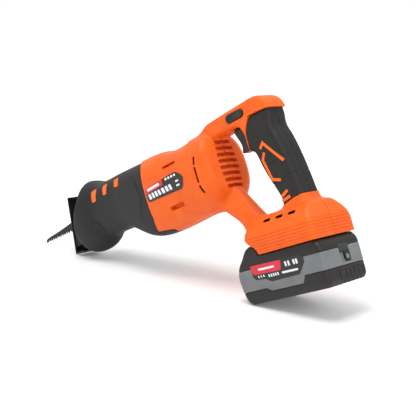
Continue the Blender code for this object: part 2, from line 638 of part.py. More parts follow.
# ---- blade end ----------------------------------------------------------------------------------------------
def clamp(steel, black):
    x0, x1 = CLAMP_X
    body = add("blade_clamp", rod("X", CLAMP_R, x0, x1, (0.0, 0.0), 32), TOOL, steel)
    cut(body, add("clamp_socket", rod("X", PLUNGER_R + 0.03, x0 - 1, 264.3, (0.0, 0.0), 32), TOOL))
    half = BLADE_T / 2 + 0.1
    cut(body, add("clamp_slot", box(269.0, x1 + 1, -half, half, -6.8, 6.8), TOOL))
    cut(body, add("clamp_pin_hole", rod("Y", 2.05, half - 0.05, 12.0, (275.0, 0.0), 24), TOOL))
    add("blade_lock_pin", rod("Y", 2.0, half + 0.15, 9.6, (275.0, 0.0), 24), TOOL, steel)
    a, b = COLLAR_X
    ring = ((a, CLAMP_R + RUN), (b, CLAMP_R + RUN), (b, COLLAR_R - 1.5), (b - 1.5, COLLAR_R),
            (a + 1.5, COLLAR_R), (a, COLLAR_R - 1.5))
    collar = add("clamp_collar", turned(ring, 0.0, 32), TOOL, black)
    lobes = [box(a + 2.0, b - 2.0, -2.5, 2.5, COLLAR_R - 2.0, COLLAR_R + 1.6) for k in range(3)]
    for k, lobe in enumerate(lobes):
        bmesh.ops.transform(lobe, matrix=Matrix.Rotation(k * math.pi * 2 / 3, 4, "X"), verts=lobe.verts)
    join(collar, add("collar_lobes", merge(*lobes), TOOL))
    keeper = ((284.4, CLAMP_R + GAP), (286.4, CLAMP_R + GAP), (286.4, 12.4), (284.4, 12.4))
    add("clamp_keeper_ring", turned(keeper, 0.0, 32), TOOL, steel)


def height_on(line, x):
    """The height at x of a line of (x, z) points that runs forward."""
    for (x0, z0), (x1, z1) in zip(line, line[1:]):
        if x0 <= x <= x1:
            return z0 + (z1 - z0) * (x - x0) / (x1 - x0)
    return line[-1][1]


def blade(steel):
    """Bimetal blade: straight toothed edge along the bottom, back falling to the tip."""
    tip = BLADE_TIP
    middle = 300.0 + 0.33 * (tip - 300.0)
    back = [(271.0, 6.4), (292.0, 6.4), (300.0, 8.0), (middle, 5.2), (tip - 12.0, 0.0), (tip - 4.0, -1.6),
            (tip, -5.4)]
    edge = [(271.0, -6.4), (300.0, -6.4), (306.0, -6.6)]
    count = int((tip - 314.0) / TOOTH_PITCH)
    for k in reversed(range(count)):
        x = tip - 0.6 - (k + 1) * TOOTH_PITCH
        rise = TOOTH_RISE * (x - 322.0)
        edge += [(x, TOOTH_ROOT + rise), (x + 0.3, TOOTH_TIP + rise), (x + 1.3, TOOTH_TIP + rise)]
    rise = TOOTH_RISE * (tip - 322.0)
    edge.append((tip - 0.6, TOOTH_TIP + rise + 0.1))
    edge.append((tip, TOOTH_TIP + rise + 0.3))
    places = sorted({x for x, z in back + edge})
    bm = bmesh.new()
    rows = []
    for x in places:
        low, high = height_on(edge, x), height_on(back, x)
        rows.append([bm.verts.new((x, y, z)) for y, z in ((-BLADE_T / 2, low), (BLADE_T / 2, low),
                                                         (BLADE_T / 2, high), (-BLADE_T / 2, high))])
    for here, after in zip(rows, rows[1:]):
        for k in range(4):
            n = (k + 1) % 4
            bm.faces.new((here[k], here[n], after[n], after[k]))
    bm.faces.new(rows[0])
    bm.faces.new(rows[-1])
    saw = add("saw_blade", bm, TOOL, steel)
    cut(saw, add("blade_hole", rod("Y", 2.2, -3.0, 3.0, (281.0, 0.0), 16), TOOL))


def shoe(steel, bright):
    """Pivoting shoe: bent plate with a window for the blade, two arms and two pivot ears."""
    t = SHOE_T
    side = [(310.0, 37.0), (290.0, 32.5), (290.0, 30.0), (307.8, 34.0), (323.4, -43.5), (291.0, -44.0),
            (291.0, -46.3), (326.6, -46.5), (326.0, -43.5)]
    plate = add("shoe_plate", prism(side, -SHOE_W, SHOE_W), SHOE, steel)
    for y0, y1 in ((9.0, 30.0), (-30.0, -9.0)):
        name = "arm_trim_%d" % y0
        cut(plate, add(name, box(280.0, 305.0, y0, y1, -60.0, -40.0), SHOE))
    for name, y0, y1 in (("lip_trim_left", 13.0, 30.0), ("lip_trim_right", -30.0, -13.0)):
        cut(plate, add(name, box(280.0, 306.0, y0, y1, 20.0, 60.0), SHOE))
    cut(plate, add("shoe_window", box(290.0, 340.0, -7.0, 7.0, -26.0, 24.0), SHOE))
    ear = [(316.0, -2.0), (322.6, -36.0), (286.0, -34.5), (278.5, -31.0), (276.5, -27.0), (278.5, -22.5),
           (286.0, -19.5)]
    for name, y0, y1 in (("shoe_ear_left", 13.6, 16.0), ("shoe_ear_right", -16.0, -13.6)):
        join(plate, add(name, prism(ear, y0, y1), SHOE))
    cut(plate, add("shoe_pin_hole", rod("Y", SHOE_PIN_R + RUN, -20.0, 20.0, SHOE_PIVOT, 32), SHOE))
    ring = ((226.0, 17.7), (239.0, 17.7), (239.0, 20.8), (226.0, 20.8))
    bracket = add("shoe_bracket", turned(ring, 0.0, 16), TOOL, bright)
    join(bracket, add("bracket_tray", box(228.0, 291.0, -13.2, 13.2, -36.0, -33.5), TOOL))
    for name, y0, y1 in (("cheek_left", 10.4, 13.2), ("cheek_right", -13.2, -10.4)):
        outline = ((228.0, -35.0), (291.0, -35.0), (291.0, -22.0), (240.0, -22.0), (238.0, -15.5), (228.0, -15.5))
        join(bracket, add(name, prism(outline, y0, y1), TOOL))
    cut(bracket, add("bracket_pin_hole", rod("Y", SHOE_PIN_R + RUN, -20.0, 20.0, SHOE_PIVOT, 32), TOOL))
    pin = add("shoe_pivot_pin", rod("Y", SHOE_PIN_R, -18.0, 18.0, SHOE_PIVOT, 32), TOOL, bright)
    join(pin, add("pin_head", rod("Y", 4.5, 16.3, 18.0, SHOE_PIVOT, 32), TOOL))


# ---- controls -----------------------------------------------------------------------------------------------
def controls(black, green, spring_steel):
    x0, x1 = TRIGGER_X
    z0, z1 = TRIGGER_Z
    face = ((x0, z1), (x0 + 13.5, z1), (x0 + 15.0, z1 - 5.0), (x0 + 13.0, z1 - 13.0), (x0 + 13.5, z1 - 20.0),
            (x0 + 17.0, z1 - 27.0), (x0 + 15.0, z0), (x0, z0 + 3.0))
    lever = add("trigger", prism(face, -7.0, 7.0, 1.5), TRIGGER, black)
    join(lever, add("trigger_stem", rod("X", 1.8, x0 - 25.0, x0 + 2.0, (0.0, -1.0), 12), TRIGGER))
    switch = add("trigger_switch", box(-90.0, -70.0, -8.5, 8.5, -15.0, 9.0), TOOL, black)
    cut(switch, add("switch_bore", rod("X", 2.0, -78.0, -60.0, (0.0, -1.0), 12), TOOL))
    button = add("lock_off_button", stadium(LOCK_AT, LOCK_HALF, 0.0, -16.0, 19.0), LOCK, black)
    cut(button, add("button_relief", box(-70, -20, -12.5, 12.5, 24.0, 40.0), LOCK))
    add("control_board", box(-104.0, -70.0, -15.0, 15.0, 77.4, 79.0), PACK, green)
    add("trigger_spring", coil("X", 3.6, 0.35, -69.6, -46.4, (0.0, -1.0), 5), TOOL, spring_steel)


def coil(axis, radius, wire, start, end, across, turns):
    """A closed helical spring wire swept along X, Y or Z."""
    steps = 7
    loops = []
    length = end - start - 2 * wire
    total = turns * steps
    for k in range(total + 1):
        angle = 2 * math.pi * k / steps
        along = start + wire + length * k / total
        ring = []
        for j in range(4):
            phi = 2 * math.pi * j / 4
            r = radius + wire * math.cos(phi)
            a = along + wire * math.sin(phi)
            u, v = r * math.cos(angle), r * math.sin(angle)
            if axis == "X":
                ring.append((a, across[0] + u, across[1] + v))
            elif axis == "Y":
                ring.append((across[0] + u, a, across[1] + v))
            else:
                ring.append((across[0] + u, across[1] + v, a))
        loops.append(ring)
    return rings(loops)


# ---- battery ------------------------------------------------------------------------------------------------
PACK_LEVELS = (
    (0.0, -3.0, -117.0, PACK_W - 5.0, 7.0),
    (3.5, 1.0, -120.0, PACK_W - 1.5, 8.0),
    (9.0, 4.0, -PACK_L, PACK_W, 8.0),
    (20.0, PACK_NOSE - 0.5, -PACK_L, PACK_W, 8.0),
    (38.0, PACK_NOSE, -PACK_L, PACK_W, 8.0),
    (47.0, 3.0, -PACK_L + 0.5, PACK_W - 0.8, 8.0),
    (PACK_TOP, -3.0, -PACK_L + 4.0, PACK_W - 3.0, 8.0),
)
BAND_LOW = ((12.0, BAND[0] - 4.0), (-34.0, BAND[0] - 4.0), (-40.0, 11.0), (-88.0, 11.0), (-92.5, BAND[0]),
            (-130.0, BAND[0]))
GAUGE_Y = (-12.0, 5.0)
CHECK_AT = (-7.0, 28.0)
BAND_HIGH = ((-130.0, BAND[1]), (12.0, BAND[1]))


def battery(dark, grey, black):
    """Slide-on pack: lower tray, grey band, upper case with rails, raised front block and release."""
    blank = add("pack_blank", stack(PACK_LEVELS), PACK)
    space = add("pack_space", stack(((4.0, -4.0, -117.0, 34.5, 6.0), (46.0, -4.0, -117.0, 34.5, 6.0),
                                     (50.0, -14.0, -110.0, 31.0, 6.0))), PACK)
    cut(blank, space)
    below = add("pack_below", prism([(x, z - GAP) for x, z in BAND_LOW] + [(-130.0, -10.0), (12.0, -10.0)],
                                    -60.0, 60.0), PACK)
    between = add("pack_between", prism(list(BAND_LOW) + list(BAND_HIGH), -60.0, 60.0), PACK)
    lower = add("battery_case_lower", box(-130, 12, -60, 60, -10, 50), PACK, dark)
    keep(lower, blank)
    keep(lower, below)
    band = add("battery_band", box(-130, 12, -60, 60, -10, 50), PACK, grey)
    keep(band, blank)
    keep(band, between)
    upper = add("battery_case_upper", box(-130, 12, -60, 60, BAND[1] + GAP, 70), PACK, dark)
    keep(upper, blank)
    rail = add("pack_rail", prism(((-14.0, 53.0), (-115.0, 53.0), (-115.0, 64.5), (-14.0, 64.5)),
                                  -25.5, 25.5), PACK)
    join(upper, rail)
    for name, y0, y1 in (("rail_groove_left", 23.0, 30.0), ("rail_groove_right", -30.0, -23.0)):
        cut(upper, add(name, box(-120.0, -38.0, y0, y1, PACK_TOP + 0.02, 59.0), PACK))
    nose = ((-2.0, 52.0), (-6.0, 60.0), (-13.5, 67.0), (-18.5, 70.5), (-25.5, 70.5), (-28.5, 66.0), (-35.5, 55.0),
            (-36.0, 52.0))
    nose_at = add("pack_nose", prism(nose, 5.0 - PACK_W, PACK_W - 5.0, 2.0), PACK)
    nose_trim = add("pack_nose_trim", stack([(level[0] - (0.1 if k == 0 else 0.0), level[1] + 1.0, level[2],
                                              level[3] + 0.6, level[4])
                                             for k, level in enumerate(FOOT[:3])]), PACK)
    cut(nose_at, nose_trim)
    join(upper, nose_at)
    cut(upper, add("latch_pocket", box(-21.0, 5.0, -13.0, 13.0, 55.5, 68.0), PACK))
    cut(upper, add("contact_slots", merge(*[box(-101.0, -70.0, y - 1.2, y + 1.2, 56.0, 66.0)
                                            for y in (-14.0, -5.0, 5.0, 14.0)]), PACK))
    cut(band, add("gauge_pocket", box(-130.0, -119.4, GAUGE_Y[0] - 0.4, GAUGE_Y[1] + 0.4, 22.6, 37.4), PACK))
    cut(band, add("button_pocket", rod("X", 3.3, -125.0, -118.0, CHECK_AT, 16), PACK))
    for name, y0, y1 in (("battery_label_left", PACK_W + 0.1, PACK_W + 0.8),
                         ("battery_label_right", -PACK_W - 0.8, -PACK_W - 0.1)):
        label = ((-20.0, 43.5), (-92.0, 42.5), (-96.0, 37.0), (-88.0, 22.0), (-45.0, 21.5), (-37.0, 26.0),
                 (-22.0, 27.5), (-20.0, 32.0), (-18.0, 38.0))
        add(name, prism(label, y0, y1), PACK, black)
    cells = []
    for layer in range(2):
        for k in range(5):
            cells.append(rod("Y", 9.1, -32.5, 32.5, (-24.0 - 18.6 * k, 14.2 + 18.7 * layer), 8))
    block = add("cell_block", box(-108.5, -14.0, -22.0, -18.0, 4.8, 42.3), PACK, black)
    join(block, add("cell_plate", box(-108.5, -14.0, 18.0, 22.0, 4.8, 42.3), PACK))
    join(block, add("cells", merge(*cells), PACK))


def battery_fittings(black, green, red, spring_steel):
    add("battery_board", box(-108.0, -20.0, -26.0, 26.0, 43.8, 45.4), PACK, green)
    add("terminal_block", box(-98.0, -62.0, -19.0, 19.0, 66.3, 74.0), PACK, black)
    latch = add("battery_release", box(-18.0, -9.5, -12.5, 12.5, 58.5, 67.5), LATCH, red)
    cut(latch, add("release_scoop", rod("Y", 6.0, -9.0, 9.0, (-4.5, 63.0), 24), LATCH))
    add("release_spring", coil("Z", 2.2, 0.35, 55.8, 58.2, (-16.0, 0.0), 2), PACK, spring_steel)
    gauge = add("charge_gauge", box(-120.6, -119.7, *GAUGE_Y, 23.0, 37.0), PACK, black)
    cut(gauge, add("gauge_hole", rod("X", 3.3, -125.0, -115.0, CHECK_AT, 16), PACK))
    add("gauge_button", rod("X", 3.0, -121.6, -119.8, CHECK_AT, 16), GAUGE, red)


# ---- assembly -----------------------------------------------------------------------------------------------
clear_scene()
SAW = collection("reciprocating_saw")
CUTTERS = collection("cutters", hidden=True)
ROOT = empty("floor_frame", SAW)
lean = math.radians(PITCH)
TOOL_AT = (AXIS_HEIGHT * math.sin(lean) - ROW_SHIFT, 0.0, AXIS_HEIGHT * math.cos(lean) - SETTLE)
TOOL = empty("tool_frame", SAW, TOOL_AT, PITCH, ROOT)
PACK = empty("battery_frame", SAW, (0.0, 0.0, -AXIS_HEIGHT), -PACK_TILT, TOOL)
MOTOR = empty("motor_axis", SAW, (0.0, 0.0, MOTOR_Z), 0.0, TOOL)
CRANK = empty("crank_axis", SAW, (CRANK_X, 0.0, MOTOR_Z), 0.0, TOOL)
SHOE = empty("shoe_axis", SAW, (SHOE_PIVOT[0], 0.0, SHOE_PIVOT[1]), 0.0, TOOL)
TRIGGER = empty("trigger_axis", SAW, (-40.0, 0.0, -1.0), 0.0, TOOL)
LOCK = empty("lock_axis", SAW, (LOCK_AT[0], 0.0, LOCK_AT[1]), 0.0, TOOL)
LATCH = empty("release_axis", SAW, (-14.0, 0.0, 62.0), 0.0, PACK)
GAUGE = empty("gauge_axis", SAW, (-PACK_L, *CHECK_AT), 0.0, PACK)

orange = material("orange_plastic", (0.95, 0.17, 0.03), 0.45)
rubber = material("black_soft_grip", (0.035, 0.033, 0.032), 0.7)
black = material("black_plastic", (0.02, 0.02, 0.021), 0.45)
dark = material("pack_plastic", (0.045, 0.036, 0.036), 0.55)
grey = material("grey_plastic", (0.21, 0.23, 0.23), 0.55)
red = material("red_plastic", (0.75, 0.03, 0.05), 0.45)
steel = material("ground_steel", (0.5, 0.5, 0.5), 0.35, 1.0)
dark_steel = material("blackened_steel", (0.03, 0.03, 0.03), 0.4, 0.8)
blade_steel = material("blade_steel", (0.12, 0.12, 0.12), 0.45, 0.9)
alloy = material("cast_alloy", (0.42, 0.42, 0.43), 0.5, 1.0)
bronze = material("sintered_bronze", (0.45, 0.28, 0.12), 0.5, 1.0)
winding = material("ferrite", (0.05, 0.05, 0.055), 0.6)
green = material("board_green", (0.02, 0.14, 0.05), 0.5)
bright = material("zinc_steel", (0.55, 0.56, 0.58), 0.4, 1.0)

housings(orange)
front_boot(rubber)
grip_covers(rubber)
screws(bright)
name_plates(black)
gear_case(alloy)
bushes(bronze, rubber)
plunger(steel)
crank(steel)
pinion(steel)
motor(steel, black, winding)
fan(black)
clamp(steel, black)
blade(blade_steel)
shoe(dark_steel, bright)
controls(black, green, bright)
battery(dark, grey, black)
battery_fittings(black, green, red, bright)
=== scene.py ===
"""Looks of a cordless reciprocating saw, resting nose-down on its shoe and battery.

Moulded pieces are level surfaces: a signed field in millimetres, negative inside, is sampled as whole arrays
and skinned at zero. Patches, strips and turned pieces are grids of two parameters. Two frames of millimetres
serve: the tool's (x, y, z), with x forward along the plunger and z up, and the battery's (u, y, w), with w up
from its base. Both end as metres in the row's frame.
"""
import json
import math

import bpy
import numpy as np
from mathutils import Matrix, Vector


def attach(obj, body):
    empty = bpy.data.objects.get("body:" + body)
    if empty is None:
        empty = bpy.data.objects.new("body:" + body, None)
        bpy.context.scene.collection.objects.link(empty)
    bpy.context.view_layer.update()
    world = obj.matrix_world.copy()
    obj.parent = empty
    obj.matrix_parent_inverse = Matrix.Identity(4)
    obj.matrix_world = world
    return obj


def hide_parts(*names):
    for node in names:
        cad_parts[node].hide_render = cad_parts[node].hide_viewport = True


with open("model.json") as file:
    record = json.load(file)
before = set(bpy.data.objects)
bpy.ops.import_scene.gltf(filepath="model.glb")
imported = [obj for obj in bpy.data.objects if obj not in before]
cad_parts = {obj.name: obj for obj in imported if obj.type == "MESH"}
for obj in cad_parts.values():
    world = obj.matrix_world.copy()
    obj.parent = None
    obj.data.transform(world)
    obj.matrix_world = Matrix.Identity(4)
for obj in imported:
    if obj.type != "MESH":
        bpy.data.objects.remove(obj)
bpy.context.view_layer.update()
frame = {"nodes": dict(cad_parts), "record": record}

MM = 0.001
PER_METRE = 1000.0
LEAN = math.radians(24.0)
TILT = math.radians(3.3)
AXIS_HEIGHT = 193.0
ROW_SHIFT = 173.05
SETTLE = 1.0
SEAM = 0.15
JOINT_GAP = 0.3
WALL = 2.8
BOOT_WALL = 3.2
PACK_WALL = 3.0
GRIP_SKIN = 2.3
MOTOR_Z = -21.0
SIDES = (("left", 1), ("right", -1))
SAW, BATTERY, PLUNGER = "saw_body", "battery_body", "plunger_body"


# ---- frames ------------------------------------------------------------------------------------------------
def to_row(points):
    """Tool millimetres to row metres: a turn about Y by the lean, then a shift."""
    x, y, z = points[..., 0], points[..., 1], points[..., 2] + AXIS_HEIGHT
    c, s = math.cos(LEAN), math.sin(LEAN)
    return np.stack([x * c + z * s - ROW_SHIFT, y, z * c - x * s - SETTLE], -1) * MM


def from_pack(points):
    """Battery millimetres to tool millimetres: a turn about Y by the tilt, then a drop to the base."""
    u, y, w = points[..., 0], points[..., 1], points[..., 2]
    c, s = math.cos(TILT), math.sin(TILT)
    return np.stack([u * c - w * s, y, u * s + w * c - AXIS_HEIGHT], -1)


def pack_uw(x, z):
    """The battery's u and w at the tool's x and z: the same turn the other way."""
    c, s = math.cos(TILT), math.sin(TILT)
    return x * c + (z + AXIS_HEIGHT) * s, (z + AXIS_HEIGHT) * c - x * s


# ---- meshes ------------------------------------------------------------------------------------------------
def make(name, points, faces, paint, body, stands_for=(), slot=None, sharp=35.0, pack=False):
    """A finished piece from points in millimetres and a list of faces, smooth up to a fold of sharp degrees."""
    if pack:
        points = from_pack(points)
    mesh = bpy.data.meshes.new(name)
    mesh.from_pydata(to_row(points).tolist(), [], [list(face) for face in faces])
    mesh.update()
    mesh.materials.append(paint)
    mesh.polygons.foreach_set("use_smooth", np.ones(len(mesh.polygons), bool))
    mesh.set_sharp_from_angle(angle=math.radians(sharp))
    piece = bpy.data.objects.new(name, mesh)
    bpy.context.scene.collection.objects.link(piece)
    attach(piece, body)
    if stands_for:
        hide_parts(*stands_for)
    return piece


def grid_faces(rows, columns, wrap=True):
    """Quads between neighbouring rows of a grid whose columns may close on themselves."""
    i, j = np.meshgrid(np.arange(rows - 1), np.arange(columns if wrap else columns - 1), indexing="ij")
    after = (j + 1) % columns
    corners = [i * columns + j, i * columns + after, (i + 1) * columns + after, (i + 1) * columns + j]
    return np.stack(corners, -1).reshape(-1, 4)


def closed_loop(rings):
    """Points and faces of a skin whose last ring joins its first, as on a hoop."""
    rows, columns = rings.shape[:2]
    points = rings.reshape(-1, 3)
    faces = grid_faces(rows + 1, columns) % (rows * columns)
    return points, outward(points, faces.tolist())


def closed_rings(rings):
    """Points and faces of a skin through closed rings, with a fan to the middle of each end."""
    rows, columns = rings.shape[:2]
    ends = np.stack([rings[0].mean(0), rings[-1].mean(0)])
    points = np.concatenate([rings.reshape(-1, 3), ends])
    j = np.arange(columns)
    after = (j + 1) % columns
    base = (rows - 1) * columns
    first = np.stack([after, j, np.full(columns, rows * columns)], -1)
    last = np.stack([base + j, base + after, np.full(columns, rows * columns + 1)], -1)
    faces = [*grid_faces(rows, columns).tolist(), *first.tolist(), *last.tolist()]
    return points, outward(points, faces)


def outward(points, faces):
    """The faces, all turned round where the volume they enclose comes out below nought."""
    volume = 0.0
    for size in (3, 4):
        some = np.array([face for face in faces if len(face) == size], np.int64).reshape(-1, size)
        for k in range(1, size - 1):
            a, b, c = (points[some[:, n]] for n in (0, k, k + 1))
            volume += np.einsum("ij,ij->i", a, np.cross(b, c)).sum()
    return faces if volume > 0 else [face[::-1] for face in faces]


def joined(parts):
    """Several (points, faces) as one."""
    points, faces, start = [], [], 0
    for some_points, some_faces in parts:
        points.append(some_points)
        faces += [[index + start for index in face] for face in some_faces]
        start += len(some_points)
    return np.concatenate(points), faces


def level_skin(field, low, high, step):
    """The zero surface of a field on a grid of one step: a point in each cell that the surface crosses, at the
    mean of the crossings on the cell's edges, then settled; and a quad for each crossed edge."""
    x, y, z = (np.arange(a, b + step, step) for a, b in zip(low, high))
    shape = (len(x), len(y), len(z))
    f = np.broadcast_to(field(x[:, None, None], y[None, :, None], z[None, None, :]), shape)
    inside = f < 0
    corners = [(a, b, c) for a in (0, 1) for b in (0, 1) for c in (0, 1)]
    cut = [tuple(slice(k, n - 1 + k) for k, n in zip(corner, shape)) for corner in corners]
    count = sum(inside[part].astype(np.int8) for part in cut)
    cells = np.argwhere((count > 0) & (count < 8))
    index = np.full([n - 1 for n in shape], -1, np.int64)
    index[tuple(cells.T)] = np.arange(len(cells))
    total = np.zeros((len(cells), 3))
    hits = np.zeros(len(cells))
    for a in corners:
        for axis in range(3):
            if a[axis]:
                continue
            b = tuple(1 if k == axis else v for k, v in enumerate(a))
            fa = f[tuple((cells + a).T)]
            fb = f[tuple((cells + b).T)]
            crossed = (fa < 0) != (fb < 0)
            share = np.where(crossed, fa / np.where(crossed, fa - fb, 1.0), 0.0)
            place = cells + np.array(a, float)
            place[:, axis] += share
            total += np.where(crossed[:, None], place, 0.0)
            hits += crossed
    points = total / hits[:, None] * step + np.array([x[0], y[0], z[0]])
    return settle(field, points, step), crossing_quads(inside, index)


def crossing_quads(inside, index):
    """For each grid edge with one end inside: the quad of the four cells round it, facing the outer end."""
    shape = inside.shape
    faces = []
    for axis in range(3):
        ahead = [slice(None)] * 3
        behind = [slice(None)] * 3
        ahead[axis], behind[axis] = slice(1, None), slice(None, -1)
        leaving = inside[tuple(behind)] & ~inside[tuple(ahead)]
        entering = ~inside[tuple(behind)] & inside[tuple(ahead)]
        one, two = [k for k in range(3) if k != axis]
        for mask, flip in ((leaving, axis == 1), (entering, axis != 1)):
            at = np.argwhere(mask)
            within = (at[:, one] > 0) & (at[:, one] < shape[one] - 1) & (at[:, two] > 0) & (at[:, two] < shape[two] - 1)
            at = at[within]
            quad = []
            for da, db in ((-1, -1), (0, -1), (0, 0), (-1, 0)):
                near = at.copy()
                near[:, one] += da
                near[:, two] += db
                quad.append(index[tuple(near.T)])
            quad = np.stack(quad, -1)
            faces.append(quad[:, ::-1] if flip else quad)
    return np.concatenate(faces)


def settle(field, points, step):
    """Each point moved once down the field's slope to its zero, by no more than half a cell."""
    x, y, z = points.T
    here = field(x, y, z)
    h = 0.05
    slope = np.stack([field(x + h, y, z) - here, field(x, y + h, z) - here, field(x, y, z + h) - here], -1) / h
    steep = np.maximum((slope ** 2).sum(-1), 0.05)
    move = np.clip(here / steep, -0.5 * step, 0.5 * step)
    return points - slope * move[:, None]


def moulded_piece(name, field, low, high, step, paint, body, **more):
    """A piece whose skin is the zero surface of a field between two corners."""
    points, faces = level_skin(field, low, high, step)
    return make(name, points, faces.tolist(), paint, body, **more)


def grid_step(fine):
    return fine


# ---- tools for fields --------------------------------------------------------------------------------------
def blend_min(a, b, r):
    """The lesser of two fields, with a fillet of about r where they meet."""
    h = np.clip(0.5 + 0.5 * (b - a) / r, 0.0, 1.0)
    return b + (a - b) * h - r * h * (1.0 - h)


def blend_max(a, b, r):
    """The greater of two fields, with an edge rounded by about r."""
    return -blend_min(-a, -b, r)


def ramp(value, width):
    """Nought below zero, one above width, a straight rise between."""
    return np.clip(value / width, 0.0, 1.0)


def smooth_line(pairs):
    """A function through (place, value) pairs: cubic pieces that share a slope at each pair, level where two
    neighbours have one value."""
    t, v = np.array(sorted(pairs), float).T
    slope = np.gradient(v, t)
    flat = np.diff(v) == 0
    slope[:-1][flat] = 0.0
    slope[1:][flat] = 0.0
    q = np.linspace(t[0], t[-1], 400)
    k = np.clip(np.searchsorted(t, q) - 1, 0, len(t) - 2)
    h = t[k + 1] - t[k]
    s = (q - t[k]) / h
    cubic = ((2 * s ** 3 - 3 * s ** 2 + 1) * v[k] + (s ** 3 - 2 * s ** 2 + s) * h * slope[k]
             + (3 * s ** 2 - 2 * s ** 3) * v[k + 1] + (s ** 3 - s ** 2) * h * slope[k + 1])
    return lambda place: np.interp(place, q, cubic)


def eased(outline):
    """A closed outline with each corner cut at its quarters, twice."""
    points = np.array(outline, float)
    for _ in range(2):
        after = np.roll(points, -1, 0)
        points = np.stack([0.75 * points + 0.25 * after, 0.25 * points + 0.75 * after], 1).reshape(-1, 2)
    return points


def edge_distance(x, z, start, end):
    """Squared distance in a plane to the line from start to end."""
    (ax, az), (bx, bz) = start, end
    ex, ez = bx - ax, bz - az
    t = np.clip(((x - ax) * ex + (z - az) * ez) / (ex * ex + ez * ez + 1e-12), 0.0, 1.0)
    return (x - ax - ex * t) ** 2 + (z - az - ez * t) ** 2


def to_outline(x, z, outline):
    """Signed distance to a closed outline in a plane: nearest edge, negative where a ray crosses it oddly."""
    x, z = np.broadcast_arrays(x, z)
    best = np.full(x.shape, 1e12)
    inside = np.zeros(x.shape, bool)
    for (ax, az), (bx, bz) in zip(outline, np.roll(outline, -1, 0)):
        best = np.minimum(best, edge_distance(x, z, (ax, az), (bx, bz)))
        if az != bz:
            inside ^= ((az > z) != (bz > z)) & (x < (bx - ax) * (z - az) / (bz - az) + ax)
    return np.where(inside, -1.0, 1.0) * np.sqrt(best)


def to_path(x, z, path):
    """Distance to an open run of straight lines."""
    x, z = np.broadcast_arrays(x, z)
    best = np.full(x.shape, 1e12)
    for start, end in zip(path, path[1:]):
        best = np.minimum(best, edge_distance(x, z, start, end))
    return np.sqrt(best)


def oval(y, z, half, top, bottom, power):
    """A superellipse section: the power mean of y and z as shares of their half sizes, less one."""
    tall = (top - bottom) / 2
    share = (np.abs(y / half) ** power + np.abs((z - (top + bottom) / 2) / tall) ** power) ** (1 / power)
    return (share - 1.0) * np.minimum(half, tall)


def block(x, y, z, size, soft):
    """A box (x0, x1, y0, y1, z0, z1) with edges eased by soft."""
    x0, x1, y0, y1, z0, z1 = size
    across = blend_max(np.abs(x - (x0 + x1) / 2) - (x1 - x0) / 2, np.abs(z - (z0 + z1) / 2) - (z1 - z0) / 2, soft)
    return blend_max(across, np.abs(y - (y0 + y1) / 2) - (y1 - y0) / 2, soft)


def plan(u, y, front, rear, half, corner):
    """A rectangle with round corners, seen from above."""
    qu = np.abs(u - (front + rear) / 2) - (front - rear) / 2 + corner
    qy = np.abs(y) - half + corner
    return np.hypot(np.maximum(qu, 0), np.maximum(qy, 0)) + np.minimum(np.maximum(qu, qy), 0) - corner


# ---- lines of the housing and the boot, in the tool's frame -------------------------------------------------
# Top, underside and half width of the motor body along x, and the power of its section.
BODY_TOP = smooth_line([(-3, -2), (-1.8, 7), (1, 15.5), (6, 21), (16, 23), (36, 24), (58, 23.2), (74, 24.2),
                        (90, 28), (112, 30.6), (145, 31)])
BODY_LOW = smooth_line([(-3, -43), (-1.8, -51), (1, -58.5), (6, -64.5), (16, -69), (60, -71.5), (85, -72.6),
                        (112, -73.4), (145, -71)])
BODY_HALF = smooth_line([(-3, 21), (-1.8, 27), (1, 33), (6, 36.8), (16, 37.8), (60, 38.8), (112, 39), (145, 37)])
SQUARE = 2.6
# The same three for the boot, which narrows to a neck and flares at its rim.
BOOT_TOP = smooth_line([(100, 31), (134, 31), (162, 32), (186, 33), (212, 33.2), (226, 34), (238, 37), (250, 42),
                        (264, 46.5), (277, 48), (288, 46.8), (296, 43.5), (302, 39)])
BOOT_LOW = smooth_line([(100, -73.4), (126, -73), (138, -72.3), (150, -69), (162, -62.6), (175, -54),
                        (186, -46.8), (198, -42.8), (214, -41.7), (238, -42), (247, -43.8), (253, -48.5),
                        (260, -52.4), (269, -54.8), (277, -55.4), (288, -54.6), (296, -51.5), (302, -47)])
BOOT_HALF = smooth_line([(100, 39), (126, 38.4), (148, 36.3), (175, 33), (198, 31), (230, 31), (243, 32),
                         (254, 34.5), (266, 37), (277, 38), (288, 37.5), (296, 34.8), (302, 30)])
# Where the rim ends at each height, and where boot and body meet at each y.
BOOT_FRONT = smooth_line([(-80, 297), (-56, 296), (-30, 294), (-10, 288), (5, 280), (20, 272), (35, 268),
                          (60, 263)])
JOINT = smooth_line([(-60, 113), (-46, 116), (-33, 120), (-22, 126.5), (-10, 134), (0, 136.5), (10, 134),
                     (22, 126.5), (33, 120), (46, 116), (60, 113)])
BOOT_PAD = np.array([(134, 6), (150, 19), (172, 15), (184, -2), (181, -22), (164, -38), (142, -47), (128, -20)])
